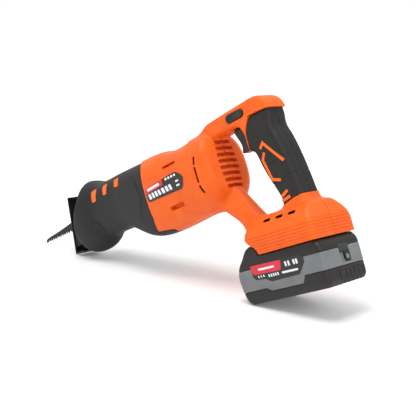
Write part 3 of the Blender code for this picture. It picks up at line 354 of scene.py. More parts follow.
# Side outlines of arm, grip and strut, and of the zone that the soft grip covers.
ARM_LINE = eased([(30, 14), (16, 24), (5, 31.4), (-5, 32.5), (-60, 34.5), (-83, 35.2), (-96, 27.5), (-101, 13),
                  (-95, -6), (-60, -6), (-52, 3), (-44, 11), (-28, 12), (2, 12), (14, 3), (34, -8)])
GRIP_LINE = eased([(-50, 14), (-51, -8), (-50.5, -19), (-51.5, -23.5), (-58, -27), (-60, -36), (-62.5, -50),
                   (-69, -70), (-74.5, -86), (-74.5, -98), (-62, -112), (-118, -114), (-109, -101),
                   (-107.5, -86), (-106, -66), (-103.4, -42), (-99.5, -20), (-94.5, -5), (-97.5, 6), (-97, 20)])
STRUT_LINE = eased([(36, -48), (26, -66), (15, -77), (-8, -101), (-4, -116), (-52, -116), (-33, -100),
                    (-21, -80), (-9, -58), (4, -40), (34, -36)])
ZONE_LINE = np.array([(-53.5, -22.2), (-40, -24), (-40, -98), (-62, -97.5), (-80, -95.5), (-95, -92.6),
                      (-118, -90.3), (-118, 12.5), (-103, 13.2), (-92, 14.4), (-67.5, 15.6), (-59.5, 3),
                      (-56.5, -3)])
PANEL_LINE = np.array([(-64, -26), (-70, -18), (-92, -22), (-95, -52), (-97, -84), (-80, -88), (-74, -64),
                       (-66, -48)])
# The foot's front, rear and half width at each height w over the battery's base, and its underside.
FOOT_FRONT = smooth_line([(50, -36), (54, -33), (62, -28.5), (68, -21), (72, -17), (79, -16), (86, -18.5),
                          (91, -21), (97, -28)])
FOOT_REAR = smooth_line([(50, -119.4), (70, -119.4), (80, -118.4), (87, -116), (92, -113.8), (98, -110.5)])
FOOT_HALF = smooth_line([(50, 40.4), (68, 40.4), (73, 39.8), (80, 37), (86, 33), (92, 27.5), (98, 22)])
FOOT_CORNER = 8.0
FOOT_UNDER = 54.3
# Openings: two slots in each side as (x0, x1, z0, z1), eight louvres behind the motor, a curved row of three
# dashes as (x0, z0, x1, z1), and three slots along the foot.
SIDE_SLOTS = ((53, 77, 1.6, 5.0), (57.5, 82, -51.6, -46.6))
LOUVRES, LOUVRE_TOP, LOUVRE_PITCH = 8, 7.5, 8.0
DASHES = ((15.6, -4.5, 17.6, -12), (18, -16.5, 18.4, -34), (18.6, -39.5, 17.2, -47))
FOOT_SLOTS, FOOT_SLOT_FRONT, FOOT_SLOT_PITCH = 3, -46.5, 19.0
BUTTON_X, BUTTON_Z = -47.5, 23.0


# ---- fields of the housing, grip and boot -------------------------------------------------------------------
def joint_at(y, z):
    """Where along the tool the boot meets the housing: curved across, and running back under the belly."""
    return JOINT(y) + 5.0 * ramp(-50.0 - z, 14.0) - 29.0 * ramp(-66.5 - z, 4.0)


def motor_body(x, y, z):
    """An oval section along x with three low raised bands: over the dashes, behind them, and ahead of x 84."""
    skin = oval(y, z, BODY_HALF(x), BODY_TOP(x), BODY_LOW(x), SQUARE)
    band = 1.1 * ramp(7.0 - np.abs(x - 17.0), 1.2) * ramp(30.0 - np.abs(z - MOTOR_Z), 6.0)
    band = band + 1.3 * ramp(33.0 - x, 1.0) + 0.7 * ramp(x - 84.0, 4.0) * ramp(z + 64.0, 8.0)
    return np.maximum(skin - band, -2.0 - x)


def arm(x, y, z):
    """The top arm: its side outline pushed across, wider where it joins the body."""
    half = 17.0 + 2.5 * ramp(x - 4, 26.0)
    return blend_max(to_outline(x, z, ARM_LINE), np.abs(y) - half, 6.0)


def grip(x, y, z):
    """The rear handle: its side outline pushed across, with a slow swell and a flare into the foot."""
    half = 18.0 + 0.4 * np.cos((z + 45) / 32.0) + 7.0 * ramp(-98 - z, 16.0) ** 2
    return blend_max(to_outline(x, z, GRIP_LINE), np.abs(y) - half, 9.0)


def strut(x, y, z):
    """A pushed outline whose rear corners are planed off, which leaves a crease down each side."""
    back = -0.835 * x + 0.55 * z
    planed = 0.846 * (np.abs(y) - 15.2) + 0.533 * (back + 40.0)
    return blend_max(blend_max(to_outline(x, z, STRUT_LINE), np.abs(y) - 15.0, 6.0), planed, 2.0)


def foot(x, y, z):
    """The battery foot: a round-cornered plan at each height, set back by half a millimetre at its bands."""
    u, w = pack_uw(x, z)
    side = plan(u, y, FOOT_FRONT(w), FOOT_REAR(w), FOOT_HALF(w), FOOT_CORNER)
    side = side + 0.5 * ramp(77.6 - w, 0.5) * ramp(w - 56.0, 0.5)
    return np.maximum(blend_max(side, w - 96.5, 3.0), FOOT_UNDER - w)


def housing(x, y, z):
    """The orange housing: body, arm, strut, grip core and foot, filleted together, hollowed to a wall, ended
    at the boot's joint, with floors let in behind the louvres and side slots, and cut open."""
    w = pack_uw(x, z)[1]
    body = motor_body(x, y, z)
    core = grip(x, y, z)
    solid = blend_min(body, arm(x, y, z), 5.0)
    solid = blend_min(solid, strut(x, y, z), 6.0)
    solid = blend_min(solid, np.maximum(core, z - 16.0), 4.0)
    solid = blend_min(solid, foot(x, y, z), 6.0)
    solid = np.maximum(solid, FOOT_UNDER - w)
    reach = np.where(z < -84.0, 1.5, 14.0)
    seat = np.maximum(np.maximum(to_outline(x, z, ZONE_LINE) - 0.3, core - reach), -(core + GRIP_SKIN))
    solid = np.maximum(solid, -seat)
    solid = np.maximum(solid, -(solid + WALL))
    solid = np.maximum(solid, x - joint_at(y, z))
    solid = np.minimum(solid, np.maximum(body + 1.0, np.abs(x - 6.5) - 6.0))
    for x0, x1, z0, z1 in SIDE_SLOTS:
        pocket = block(x, 0 * y, z, (x0 - 3, x1 + 3, -5, 5, z0 - 3, z1 + 3), 1.0)
        solid = np.minimum(solid, np.maximum(np.maximum(pocket, 26.0 - np.abs(y)), body + 0.8))
    for cut in openings(x, y, z, body):
        solid = np.maximum(solid, -cut)
    return solid


def openings(x, y, z, body):
    """What is cut from the housing: trigger bay, button hole, side slots, louvres that bow down at their ends,
    dashes, foot slots and the battery's bay."""
    u, w = pack_uw(x, z)
    side = np.abs(y)
    yield block(x, y, z, (-71, -26.5, -7.4, 7.4, -19.5, 15), 1.0)
    yield np.maximum(plan(x - BUTTON_X, z - BUTTON_Z, 14.3, -14.3, 5.05, 5.0), 8.0 - side)
    for x0, x1, z0, z1 in SIDE_SLOTS:
        yield np.maximum(block(x, 0 * y, z, (x0, x1, -5, 5, z0, z1), 0.4), -body - 6.0)
    for k in range(LOUVRES):
        level = LOUVRE_TOP - LOUVRE_PITCH * k
        wide = 16.5 * math.sqrt(1.0 - ((level - MOTOR_Z) / 46.0) ** 2)
        yield block(x, y, z + 0.0025 * y * y, (-9, 4.5, -wide, wide, level - 2.2, level + 2.2), 1.8)
    for x0, z0, x1, z1 in DASHES:
        yield np.maximum(to_path(x, z, [(x0, z0), (x1, z1)]) - 1.7, 20.0 - side)
    for k in range(FOOT_SLOTS):
        front = FOOT_SLOT_FRONT - FOOT_SLOT_PITCH * k
        yield np.maximum(block(u, 0 * y, w, (front - 11.0, front, -5, 5, 87.9, 90.9), 0.4), 16.0 - side)
    yield block(u, y, w, (-117, -10, -27, 27, 40, 66), 1.0)


def grip_cover(x, y, z):
    """The soft grip skin: the outer two millimetres of the grip inside its zone, with two grooves and a panel
    that stands proud."""
    shape = grip(x, y, z)
    groove = np.maximum(0.7 - np.abs(z + 47 + 0.15 * (x + 80)), 0.7 - np.abs(z + 69 + 0.15 * (x + 80)))
    dent = np.clip(groove, 0, 0.6) * (np.abs(y) > 9)
    panel = np.clip(-to_outline(x, z, PANEL_LINE), 0, 0.6) * np.clip((np.abs(y) - 10) / 4, 0, 1)
    skin = shape + dent + 0.6 - panel
    return np.maximum(np.maximum(skin, -(shape + GRIP_SKIN)), to_outline(x, z, ZONE_LINE))


def boot_power(x):
    """Squarish at the body, round at the flared rim."""
    return SQUARE - 0.5 * ramp(x - 222.0, 22.0)


def boot_skin(x, y, z):
    """The boot's outside: an oval section along x, with a pad raised on each side of the neck."""
    skin = oval(y, z, BOOT_HALF(x), BOOT_TOP(x), BOOT_LOW(x), boot_power(x))
    pad = np.clip(-to_outline(x, z, BOOT_PAD), 0.0, 0.7)
    return skin - pad


def boot(x, y, z):
    """The soft nose boot: an oval sleeve, open at the front, with a rolled rim; its tail runs back underneath."""
    outer = blend_max(boot_skin(x, y, z), x - BOOT_FRONT(z), 5.0)
    inner = oval(y, z, BOOT_HALF(x) - BOOT_WALL, BOOT_TOP(x) - BOOT_WALL, BOOT_LOW(x) + BOOT_WALL, boot_power(x))
    mouth = np.clip((x - 262) / 24.0, 0, 1) * 1.6
    return np.maximum(blend_max(outer, -(inner + mouth), 1.5), joint_at(y, z) + JOINT_GAP - x)


# ---- fields of the battery, in (u, y, w) --------------------------------------------------------------------
PACK_FRONT = smooth_line([(-2, -3.6), (0, -1.6), (3.5, 1.6), (9, 4.2), (20, 6.5), (38, 7), (47, 3), (54, -3),
                          (62, -9), (70, -18), (76, -26)])
PACK_HALF = smooth_line([(-2, 33.6), (0, 35.4), (3.5, 37.2), (9, 38), (42, 38), (50, 37.2), (60, 36.2), (72, 34)])
PACK_REAR = smooth_line([(-2, -116), (0, -118), (4, -120.2), (12, -121), (41, -121), (47, -120.3), (54, -116),
                         (72, -106)])
GAUGE_Y, GAUGE_W = -7.0, 28.0


def pack_skin(u, y, w):
    """The battery's outside: a round-cornered plan at each height, eased at the base."""
    side = plan(u, y, PACK_FRONT(w), PACK_REAR(w), PACK_HALF(w), 7.0)
    return blend_max(side, -w, 1.4)


def band_low(u):
    """The band's lower edge: level, with a deeper middle between two slopes."""
    return np.interp(u, [-200, -92.5, -88, -41, -33.5, 50], [19.5, 19.5, 11.2, 11.2, 15.5, 15.5])


def finger_ridges(u, y, w):
    """Upright scallops across the rear end's far part: a cosine of the way across, kept below the band."""
    kept = ramp(16.5 - w, 1.5) * ramp(9.0 - y, 1.0) * ramp(-112.0 - u, 2.0)
    return 1.9 * kept * (0.5 + 0.5 * np.cos((y + 38.0) * 2.0 * np.pi / 7.6)) ** 0.7


def pack_lower(u, y, w):
    """Lower case: the skin below the band, scalloped at the rear, hollow above its floor."""
    skin = pack_skin(u, y, w)
    solid = np.maximum(skin + finger_ridges(u, y, w), w - band_low(u) + 0.25)
    return np.maximum(solid, -np.maximum(skin + PACK_WALL, 3.5 - w))


def pack_band(u, y, w):
    """The grey band: a wall between its two edges, with a bay for the gauge and a hole for its button."""
    skin = pack_skin(u, y, w)
    ring = np.maximum(skin - 0.25, -(skin + PACK_WALL))
    solid = blend_max(ring, np.maximum(band_low(u) - w, w - 39.5), 0.6)
    hollow = np.maximum(np.maximum(u + 119.4, np.abs(y + 3.5) - 8.9), np.maximum(22.6 - w, w - 50.0))
    hole = np.maximum(np.hypot(y - GAUGE_Y, w - GAUGE_W) - 3.4, np.maximum(u + 117.9, -u - 125))
    return np.maximum(np.maximum(solid, -hollow), -hole)


def pack_upper(u, y, w):
    """Upper case: the deck, the raised front block that hugs the foot, and the slide rail with its contacts."""
    skin = pack_skin(u, y, w)
    deck = blend_max(skin, w - 54.0, 2.0)
    foot_side = plan(u, y, FOOT_FRONT(w) + 0.8, -121.0, FOOT_HALF(w) + 4.0, FOOT_CORNER)
    nose = blend_max(np.maximum(skin, -foot_side), w - 70.0 + 0.004 * y * y, 4.0)
    nose = np.maximum(nose, 50.0 - w)
    rail = block(u, y, w, (-115, -16, -25.5, 25.5, 50, 64.5), 1.0)
    rail = np.maximum(rail, -block(u, np.abs(y), w, (-120, -38, 22.5, 30, 54.2, 59), 0.5))
    solid = np.minimum(np.minimum(deck, nose), rail)
    solid = np.maximum(solid, 39.75 - w)
    solid = np.maximum(solid, -block(u, y, w, (-21, 5, -13, 13, 55.5, 68), 1.0))
    for y0 in (-14, -5, 5, 14):
        solid = np.maximum(solid, -block(u, y, w, (-101, -70, y0 - 1.2, y0 + 1.2, 56, 68), 0.3))
    return np.maximum(solid, -np.maximum(skin + PACK_WALL + 0.2, w - 50.0))


# ---- pieces that lie on a moulded skin ----------------------------------------------------------------------
def on_side(field, x, z):
    """How far out the skin is at each x and z: twenty-six halvings of the way out to 46 mm."""
    near = np.full(np.shape(x), 4.0)
    far = np.full(np.shape(x), 46.0)
    for _ in range(26):
        middle = (near + far) / 2
        outside = field(x, middle, z) > 0
        far = np.where(outside, middle, far)
        near = np.where(outside, near, middle)
    return (near + far) / 2


def plate(field, x, z, side, lift, deep):
    """A closed plate between a grid on the skin moved out by lift and the same grid moved in by deep."""
    rows, columns = x.shape
    y = on_side(field, x, z)
    top = np.stack([x, side * (y + lift), z], -1).reshape(-1, 3)
    low = np.stack([x, side * (y - deep), z], -1).reshape(-1, 3)
    upper = grid_faces(rows, columns, False)
    under = upper[:, ::-1] + rows * columns
    number = np.arange(rows * columns).reshape(rows, columns)
    edge = np.concatenate([number[0, :-1], number[:-1, -1], number[-1, :0:-1], number[:0:-1, 0]])
    after = np.roll(edge, -1)
    rim = np.stack([edge, edge + rows * columns, after + rows * columns, after], -1)
    points = np.concatenate([top, low])
    return points, outward(points, np.concatenate([upper, under, rim]).tolist())


def patch(field, corners, side, lift, deep, power, count=14):
    """A thin raised plate over a four-cornered region: the unit square mapped onto a superellipse of high
    power, which eases the corners, then spread between the four."""
    s = np.linspace(-1, 1, count)
    p, q = np.meshgrid(s, s, indexing="ij")
    reach = np.maximum(np.maximum(np.abs(p), np.abs(q)), 1e-6)
    round_by = (np.abs(p / reach) ** power + np.abs(q / reach) ** power) ** (-1 / power)
    p, q = p * round_by, q * round_by
    weight = [(1 - p) * (1 - q), (1 + p) * (1 - q), (1 + p) * (1 + q), (1 - p) * (1 + q)]
    x = sum(w * c[0] for w, c in zip(weight, corners)) / 4
    z = sum(w * c[1] for w, c in zip(weight, corners)) / 4
    return plate(field, x, z, side, lift, deep)


def slanted(x, z, wide, tall, slant=0.0):
    """The corners of an upright bar that leans by slant over its height."""
    return (x, z), (x + wide, z), (x + wide + slant, z + tall), (x + slant, z + tall)


def outline_plate(field, upper, lower, side, lift, deep):
    """A thin raised plate between an upper and a lower line: columns from end to end, each in equal steps."""
    upper, lower = np.array(sorted(upper), float), np.array(sorted(lower), float)
    places = np.unique(np.concatenate([np.linspace(upper[0, 0], upper[-1, 0], 44), upper[:, 0], lower[:, 0]]))
    high = np.interp(places, upper[:, 0], upper[:, 1])[:, None]
    low = np.interp(places, lower[:, 0], lower[:, 1])[:, None]
    z = low + (high - low) * np.linspace(0, 1, 14)
    x = np.broadcast_to(places[:, None], z.shape)
    return plate(field, x, z, side, lift, deep)


def strip(field, path, width, side, lift, deep=0.8, each=1.5):
    """A thin band of one width laid on the skin along a run of lines, mitred at its corners."""
    path = np.array(path, float)
    run = np.diff(path, axis=0)
    run /= np.linalg.norm(run, axis=1)[:, None]
    across = np.stack([-run[:, 1], run[:, 0]], -1)
    mitre = np.concatenate([across[:1], across[:-1] + across[1:], across[-1:]])
    mitre /= (mitre * np.concatenate([across[:1], across])).sum(1)[:, None]
    rows = []
    for k in range(len(path) - 1):
        count = max(2, int(np.linalg.norm(path[k + 1] - path[k]) / each))
        share = np.linspace(0, 1, count, endpoint=k == len(path) - 2)[:, None]
        centre = path[k] * (1 - share) + path[k + 1] * share
        out = mitre[k] * (1 - share) + mitre[k + 1] * share
        rows.append(np.stack([centre + out * width * t for t in (-0.5, -0.25, 0, 0.25, 0.5)], 1))
    grid = np.concatenate(rows)
    return plate(field, grid[..., 0], grid[..., 1], side, lift, deep)


# ---- turned pieces and bars ----------------------------------------------------------------------------------
def turned(profile, sides, dents=None):
    """A profile of (x, radius) points carried round the plunger's axis; dents(angle) adds to its widest part.
    A profile that starts on the axis is capped there, and any other closes on itself."""
    angle = np.linspace(0, 2 * np.pi, sides, endpoint=False)
    profile = np.array(profile, float)
    extra = np.zeros(sides) if dents is None else dents(angle)
    widest = profile[:, 1] > profile[:, 1].max() - 0.8
    r = profile[:, 1][:, None] + extra[None, :] * widest[:, None]
    x = np.broadcast_to(profile[:, :1], r.shape)
    rings = np.stack([x, r * np.sin(angle), r * np.cos(angle)], -1)
    return closed_loop(rings) if profile[0, 1] > 0 else closed_rings(rings[1:-1])


def bar_between(start, end, deep, wide, sides=10):
    """A straight bar with an oval section and domed ends."""
    start, end = np.array(start, float), np.array(end, float)
    t = np.linspace(-1, 1, 9)
    size = np.sqrt(np.clip(1 - np.abs(t) ** 6, 0.02, 1))
    angle = np.linspace(0, 2 * np.pi, sides, endpoint=False)
    centre = start + (end - start) * ((t + 1) / 2)[:, None]
    section = np.stack([deep * np.cos(angle), wide * np.sin(angle), np.zeros(sides)], -1)
    return closed_rings(centre[:, None, :] + size[:, None, None] * section)


def knob(u0, u1, centre, r, sides=40):
    """A short round button along u with an eased rim and a dished face."""
    angle = np.linspace(0, 2 * np.pi, sides, endpoint=False)
    rows = [(u1, r), (u0 + 0.4, r), (u0 + 0.1, r - 0.15), (u0, r - 0.45), (u0 + 0.15, r * 0.5), (u0 + 0.2, 0.3)]
    return closed_rings(np.array([
        np.stack([np.full(sides, u), centre[0] + s * np.cos(angle), centre[1] + s * np.sin(angle)], -1)
        for u, s in rows]))


# ---- materials ------------------------------------------------------------------------------------------------
def shade(code):
    """sRGB hex to linear red, green, blue and one."""
    parts = [int(code[k:k + 2], 16) / 255 for k in (1, 3, 5)]
    return [p / 12.92 if p <= 0.04045 else ((p + 0.055) / 1.055) ** 2.4 for p in parts] + [1.0]


def node(tree, kind, inputs=None, **settings):
    """Adds a node with its settings, its values and its links."""
    made = tree.nodes.new(kind)
    for key, value in settings.items():
        setattr(made, key, value)
    for key, value in (inputs or {}).items():
        if isinstance(value, bpy.types.NodeSocket):
            tree.links.new(value, made.inputs[key])
        else:
            made.inputs[key].default_value = value
    return made


def surface(name, low, high, rough, grain_mm, bump_mm, metallic=0.0, ior=1.5, spread=0.06, **sockets):
    """A finish whose colour drifts between two shades over 22 mm, as moulding flow and handling leave it, with
    grain of grain_mm in its relief and gloss. Real spark texture and satin grain are a tenth of a millimetre;
    they are drawn about ten times coarser, so that they show."""
    made = bpy.data.materials.new(name)
    made.use_nodes = True
    tree = made.node_tree
    shader = tree.nodes["Principled BSDF"]
    where = node(tree, "ShaderNodeTexCoord").outputs["Object"]
    drift = node(tree, "ShaderNodeTexNoise", {"Vector": where, "Scale": PER_METRE / 22.0, "Detail": 3.0})
    grain = node(tree, "ShaderNodeTexNoise", {"Vector": where, "Scale": PER_METRE / grain_mm, "Detail": 2.0})
    soft = node(tree, "ShaderNodeMapRange", {"Value": drift.outputs["Fac"], "From Min": 0.3, "From Max": 0.7})
    tint = node(tree, "ShaderNodeValToRGB", {"Fac": soft.outputs["Result"]})
    tint.color_ramp.elements[0].color = shade(low)
    tint.color_ramp.elements[1].color = shade(high)
    gloss = node(tree, "ShaderNodeMapRange", {"Value": grain.outputs["Fac"], "From Min": 0.3, "From Max": 0.7,
                                              "To Min": rough - spread, "To Max": rough + spread})
    relief = node(tree, "ShaderNodeBump", {"Height": grain.outputs["Fac"], "Strength": 0.6,
                                           "Distance": bump_mm * MM})
    tree.links.new(tint.outputs["Color"], shader.inputs["Base Color"])
    tree.links.new(gloss.outputs["Result"], shader.inputs["Roughness"])
    tree.links.new(relief.outputs["Normal"], shader.inputs["Normal"])
    shader.inputs["Metallic"].default_value = metallic
    if not metallic:
        shader.inputs["IOR"].default_value = ior
    for key, value in sockets.items():
        shader.inputs[key.replace("_", " ")].default_value = value
    return made


# Glass-filled nylon housing, moulded in a fine spark texture: strong colour under a broad soft sheen.
orange = surface("nylon_orange_spark_texture", "#E85C0E", "#F06614", 0.48, 1.4, 0.05, ior=1.36)
# Thermoplastic rubber, moulded matt: very dark warm grey with hardly any highlight.
soft_black = surface("tpe_black_matt", "#12100F", "#181514", 0.6, 1.1, 0.10, ior=1.48)
# The same rubber in orange, for inlays: a shade yellower and duller than the nylon beside it.
soft_orange = surface("tpe_orange_inlay", "#F06414", "#F8701E", 0.55, 1.1, 0.06, ior=1.36)
# ABS for trigger, buttons and collar, lightly grained: near black, with a tight soft highlight.
abs_black = surface("abs_black_fine_grain", "#0E0D0E", "#141314", 0.38, 0.9, 0.03)
# ABS pack shell, spark eroded: charcoal with a faint brown cast and an even, dull sheen.
abs_charcoal = surface("abs_charcoal_spark_texture", "#130F0E", "#1A1514", 0.5, 1.2, 0.07)
# The same ABS in a cool mid grey, for the band.
abs_grey = surface("abs_grey_spark_texture", "#6B6F71", "#75797B", 0.5, 1.2, 0.06)
# Printed polyester film, rolled smooth: satin, so it reads crisper than the moulding under it.
film_black = surface("polyester_film_black", "#151415", "#1A191A", 0.3, 0.8, 0.01)
film_red = surface("polyester_film_red", "#CE1B30", "#D8283C", 0.32, 0.8, 0.01)
film_white = surface("polyester_film_white", "#E4E5E7", "#EEEEF0", 0.35, 0.8, 0.01)
# ABS from a polished mould: the glossiest plastic here.
abs_red = surface("abs_red_polished", "#B61E2C", "#C42534", 0.3, 0.9, 0.02)
# Smoked polycarbonate windows over unlit lamps: dull green-grey with a sharp highlight.
clear_smoke = surface("polycarbonate_smoke", "#3B4140", "#4A5150", 0.25, 0.9, 0.01)
# Sheet steel, blackened and oiled: dark with soft metallic edges.
steel_black = surface("steel_sheet_black_oxide", "#1C1B1B", "#262424", 0.42, 0.8, 0.03, metallic=0.6)
# Bi-metal strip, dark from hardening: a dull metal whose gloss varies along it.
steel_blade = surface("bimetal_blade_oxide", "#2A2827", "#383533", 0.42, 0.7, 0.03, metallic=0.85, spread=0.1)
# Ground steel: bright, with a tight highlight.
steel_ground = surface("steel_ground_bright", "#B4B4B6", "#C3C3C5", 0.28, 0.5, 0.01, metallic=1.0)
# Zinc plate on steel: paler and milkier than ground steel.
steel_zinc = surface("steel_zinc_plated", "#A9ABAE", "#BCBEC2", 0.34, 0.8, 0.02, metallic=1.0)
# Die-cast aluminium as it leaves the die: grey, pebbled, with a wide dull shine.
alloy_cast = surface("aluminium_die_cast", "#A2A3A5", "#B1B2B4", 0.5, 1.0, 0.12, metallic=1.0)
# Sintered bronze, porous and oiled: warm and nearly matt.
bronze_sintered = surface("bronze_sintered", "#A87B45", "#B88A52", 0.5, 0.5, 0.05, metallic=1.0)
# Ground ferrite, a ceramic: charcoal, with no metal in its shine.
ferrite = surface("ferrite_magnet", "#2C2D30", "#36373A", 0.6, 0.8, 0.05)
# Glass fibre board under lacquer: deep green and smooth.
board_green = surface("fibreglass_board_green", "#12512C", "#1A6337", 0.35, 1.0, 0.02)

CAD_PAINT = {
    "orange_plastic": orange, "black_rubber": soft_black, "black_plastic": abs_black, "red_plastic": abs_red,
    "pack_plastic": abs_charcoal, "grey_plastic": abs_grey, "ground_steel": steel_ground, "dark_steel": steel_black,
    "blade_steel": steel_blade, "zinc_steel": steel_zinc, "cast_alloy": alloy_cast, "bronze": bronze_sintered,
    "ferrite": ferrite, "board": board_green}


def paint_cad_nodes():
    """The finish of every CAD node, from its material slot in the record."""
    for part in frame["record"]["subparts"]:
        shown = frame["nodes"][part["node"]]
        shown.data.materials.clear()
        shown.data.materials.append(CAD_PAINT[part["material_slot"]])


# ---- housing, grip and boot ------------------------------------------------------------------------------------
GRIP_INLAYS = (((-71.2, -26.4), (-77, -21.4), (-98.2, -49.4)),
               ((-75.2, -32.2), (-70, -39.6), (-74.8, -64.6), (-86.2, -68.8)),
               ((-79.5, -87), (-90.6, -82.4)),
               ((-77.5, -92), (-91.6, -89.8)))
BOOT_STRIPES = (((229.4, 7.5), (237.9, 7.8), (240.0, 24.2), (229.0, 25.2)),
                ((203.2, 9.9), (211.2, 10.0), (213.0, 23.5), (203.2, 24.6)),
                ((174.6, 12.0), (183.8, 12.5), (186.0, 23.6), (176.0, 23.8)))
BOSS_X, BOSS_Z = 249, -27


def half_of(field, side):
    """The part of a field on one side of the middle plane, short of it by the seam."""
    return lambda x, y, z: np.maximum(field(x, y, z), SEAM - side * y)


def build_housing():
    """Two halves of the shell and of the soft grip, each with a grid that just crosses the middle plane."""
    step = grid_step(1.07)
    for name, side in SIDES:
        low = (-125, -2 if side > 0 else -45, -152)
        high = (145, 45 if side > 0 else 2, 39)
        moulded_piece("housing_shell_" + name, half_of(housing, side), low, high, step, orange, SAW,
                      stands_for=["housing_" + name], slot="orange_plastic")
        low = (-112, -2 if side > 0 else -20, -102)
        high = (-48, 20 if side > 0 else 2, 20)
        moulded_piece("soft_grip_" + name, half_of(grip_cover, side), low, high, 0.8, soft_black, SAW,
                      stands_for=["grip_cover_" + name], slot="black_rubber")


def build_grip_lines():
    """Orange lines let into each side of the grip."""
    for name, side in SIDES:
        points, faces = joined([strip(grip, line, 3.4, side, 0.35) for line in GRIP_INLAYS])
        make("grip_inlay_" + name, points, faces, soft_orange, SAW, slot="orange_plastic")


def build_boot():
    """The boot, and three orange stripes on each of its shoulders."""
    moulded_piece("nose_boot", boot, (110, -42, -77), (300, 42, 52), grid_step(1.15), soft_black, SAW,
                  stands_for=["front_boot"], slot="black_rubber")
    for name, side in SIDES:
        points, faces = joined([patch(boot_skin, corners, side, 0.5, 1.0, 7.0) for corners in BOOT_STRIPES])
        make("boot_stripes_" + name, points, faces, soft_orange, SAW, slot="orange_plastic")


def build_boss():
    """A round boss with a raised rim and a sunk middle on each side of the boot: rings on the skin, each of one
    radius and one lift."""
    angle = np.linspace(0, 2 * np.pi, 64, endpoint=False)
    rows = ((10.5, -1.5), (10.4, 0.4), (9.6, 1.1), (8.6, 1.1), (7.8, 0.3), (7.2, 0.1), (3.5, 0.2), (0.6, 0.3))
    for name, side in SIDES:
        rings = []
        for r, lift in rows:
            x = BOSS_X + r * np.cos(angle)
            z = BOSS_Z + r * np.sin(angle)
            rings.append(np.stack([x, side * (on_side(boot_skin, x, z) + lift), z], -1))
        points, faces = closed_rings(np.array(rings))
        make("boot_boss_" + name, points, faces, soft_black, SAW, slot="black_rubber")


def plan_outline(w, grow, angle):
    """Where rays from the middle of the foot meet its plan at height w, moved out by grow: found by halving."""
    front, rear, half = FOOT_FRONT(w), FOOT_REAR(w), FOOT_HALF(w)
    middle = (front + rear) / 2
    near = np.full(angle.shape, 5.0)
    far = np.full(angle.shape, 120.0)
    for _ in range(28):
        r = (near + far) / 2
        place = plan(middle + r * np.cos(angle), r * np.sin(angle), front, rear, half, FOOT_CORNER)
        far = np.where(place > grow, r, far)
        near = np.where(place > grow, near, r)
    return middle + near * np.cos(angle), near * np.sin(angle)


def build_foot_bands():
    """Six raised bands round the lower foot with narrow grooves between: a flat ridge carried round the plan."""
    angle = np.linspace(0, 2 * np.pi, 240, endpoint=False)
    parts = []
    for k in range(6):
        base = 56.4 + 3.5 * k
        rings = []
        for grow, rise in ((-1.1, 0.0), (0.05, 0.25), (0.05, 2.3), (-1.1, 2.55)):
            u, y = plan_outline(base + rise, grow, angle)
            rings.append(np.stack([u, y, np.full_like(u, base + rise)], -1))
        parts.append(closed_loop(np.array(rings)))
    points, faces = joined(parts)
    make("foot_bands", points, faces, orange, SAW, slot="orange_plastic", pack=True)


def build_name_plates():
    """A dark film on each side of the body with a red flash and plain light bars, with no lettering."""
    upper = ((42.6, -19), (44.6, -15.6), (52.5, -9.6), (57, -8.6), (111.5, -12), (114.2, -14))
    lower = ((42.6, -21), (46, -29.5), (49.5, -32.2), (110.5, -30.2), (113.4, -28.4), (114.2, -24))
    flash = ((80.5, -17.6), (113.6, -19.2), (115, -12.6), (79.5, -9.6))
    flash_bar = ((85, -15.6), (109, -16.8), (110.4, -13.6), (86, -12.2))
    row = ((104.5, 4.6), (98.4, 3.8), (92, 4.2), (86, 3.8), (78.6, 4.8), (71.6, 4.4), (65, 4.2))
    bars = [slanted(x, -27.6, wide, 7.2, 1.6) for x, wide in row]
    bars += [slanted(51, z, 5.5, 2.2) for z in (-21.6, -27)]
    bars += [slanted(54 + 5.5 * k, -13.6, 3.4, 2.8) for k in range(4)]
    for name, side in SIDES:
        points, faces = outline_plate(motor_body, upper, lower, side, 0.5, 1.2)
        make("name_plate_film_" + name, points, faces, film_black, SAW,
             stands_for=["name_plate_" + name], slot="black_plastic")
        points, faces = patch(motor_body, flash, side, 0.75, 0.5, 12.0, 20)
        make("name_plate_flash_" + name, points, faces, film_red, SAW, slot="red_plastic")
        points, faces = joined([patch(motor_body, bar, side, 0.85, 0.4, 10.0, 8) for bar in bars]
                               + [patch(motor_body, flash_bar, side, 1.0, 0.4, 10.0, 12)])
        make("name_plate_bars_" + name, points, faces, film_white, SAW, slot="grey_plastic")


# ---- controls ----------------------------------------------------------------------------------------------------
def build_controls():
    """The trigger, a curved finger face on a round stem, and the lock-off button, a slide dished at both ends."""
    face = eased([(-48, 11), (-31, 11), (-29.2, 8), (-32, 0), (-35, -7), (-35.4, -13), (-33, -18.2), (-35, -20.4),
                  (-48, -19)])

    def trigger(x, y, z):
        lever = blend_max(to_outline(x, z, face), np.abs(y) - 7.0, 3.0)
        stem = np.maximum(np.hypot(y, z + 1) - 1.8, np.maximum(-71 - x, x + 44))
        return np.minimum(lever, stem)

    def button(x, y, z):
        disc = plan(x - BUTTON_X, z - BUTTON_Z, 14.0, -14.0, 4.75, 4.7)
        dish = 0.8 * np.clip(1 - ((x - BUTTON_X) / 10.0) ** 2, 0, 1)
        return blend_max(disc, np.abs(y - 1.5) - 17.5 + dish, 1.6)

    moulded_piece("trigger_lever", trigger, (-73, -9, -22), (-25, 9, 13), 0.6, abs_black, "trigger_body",
                  stands_for=["trigger"], slot="black_plastic")
    moulded_piece("lock_off_slide", button, (-64, -19, 16), (-31, 21, 30), 0.6, abs_black, "lock_body",
                  stands_for=["lock_off_button"], slot="black_plastic")


# ---- nose: plunger, clamp, shoe and blade --------------------------------------------------------------------------
def collar_lobes(angle):
    """Three finger lobes round the collar, and fine knurling."""
    return 1.2 * np.clip(np.cos(3 * angle) * 4 - 2.6, 0, 1) + 0.25 * np.sign(np.sin(36 * angle))


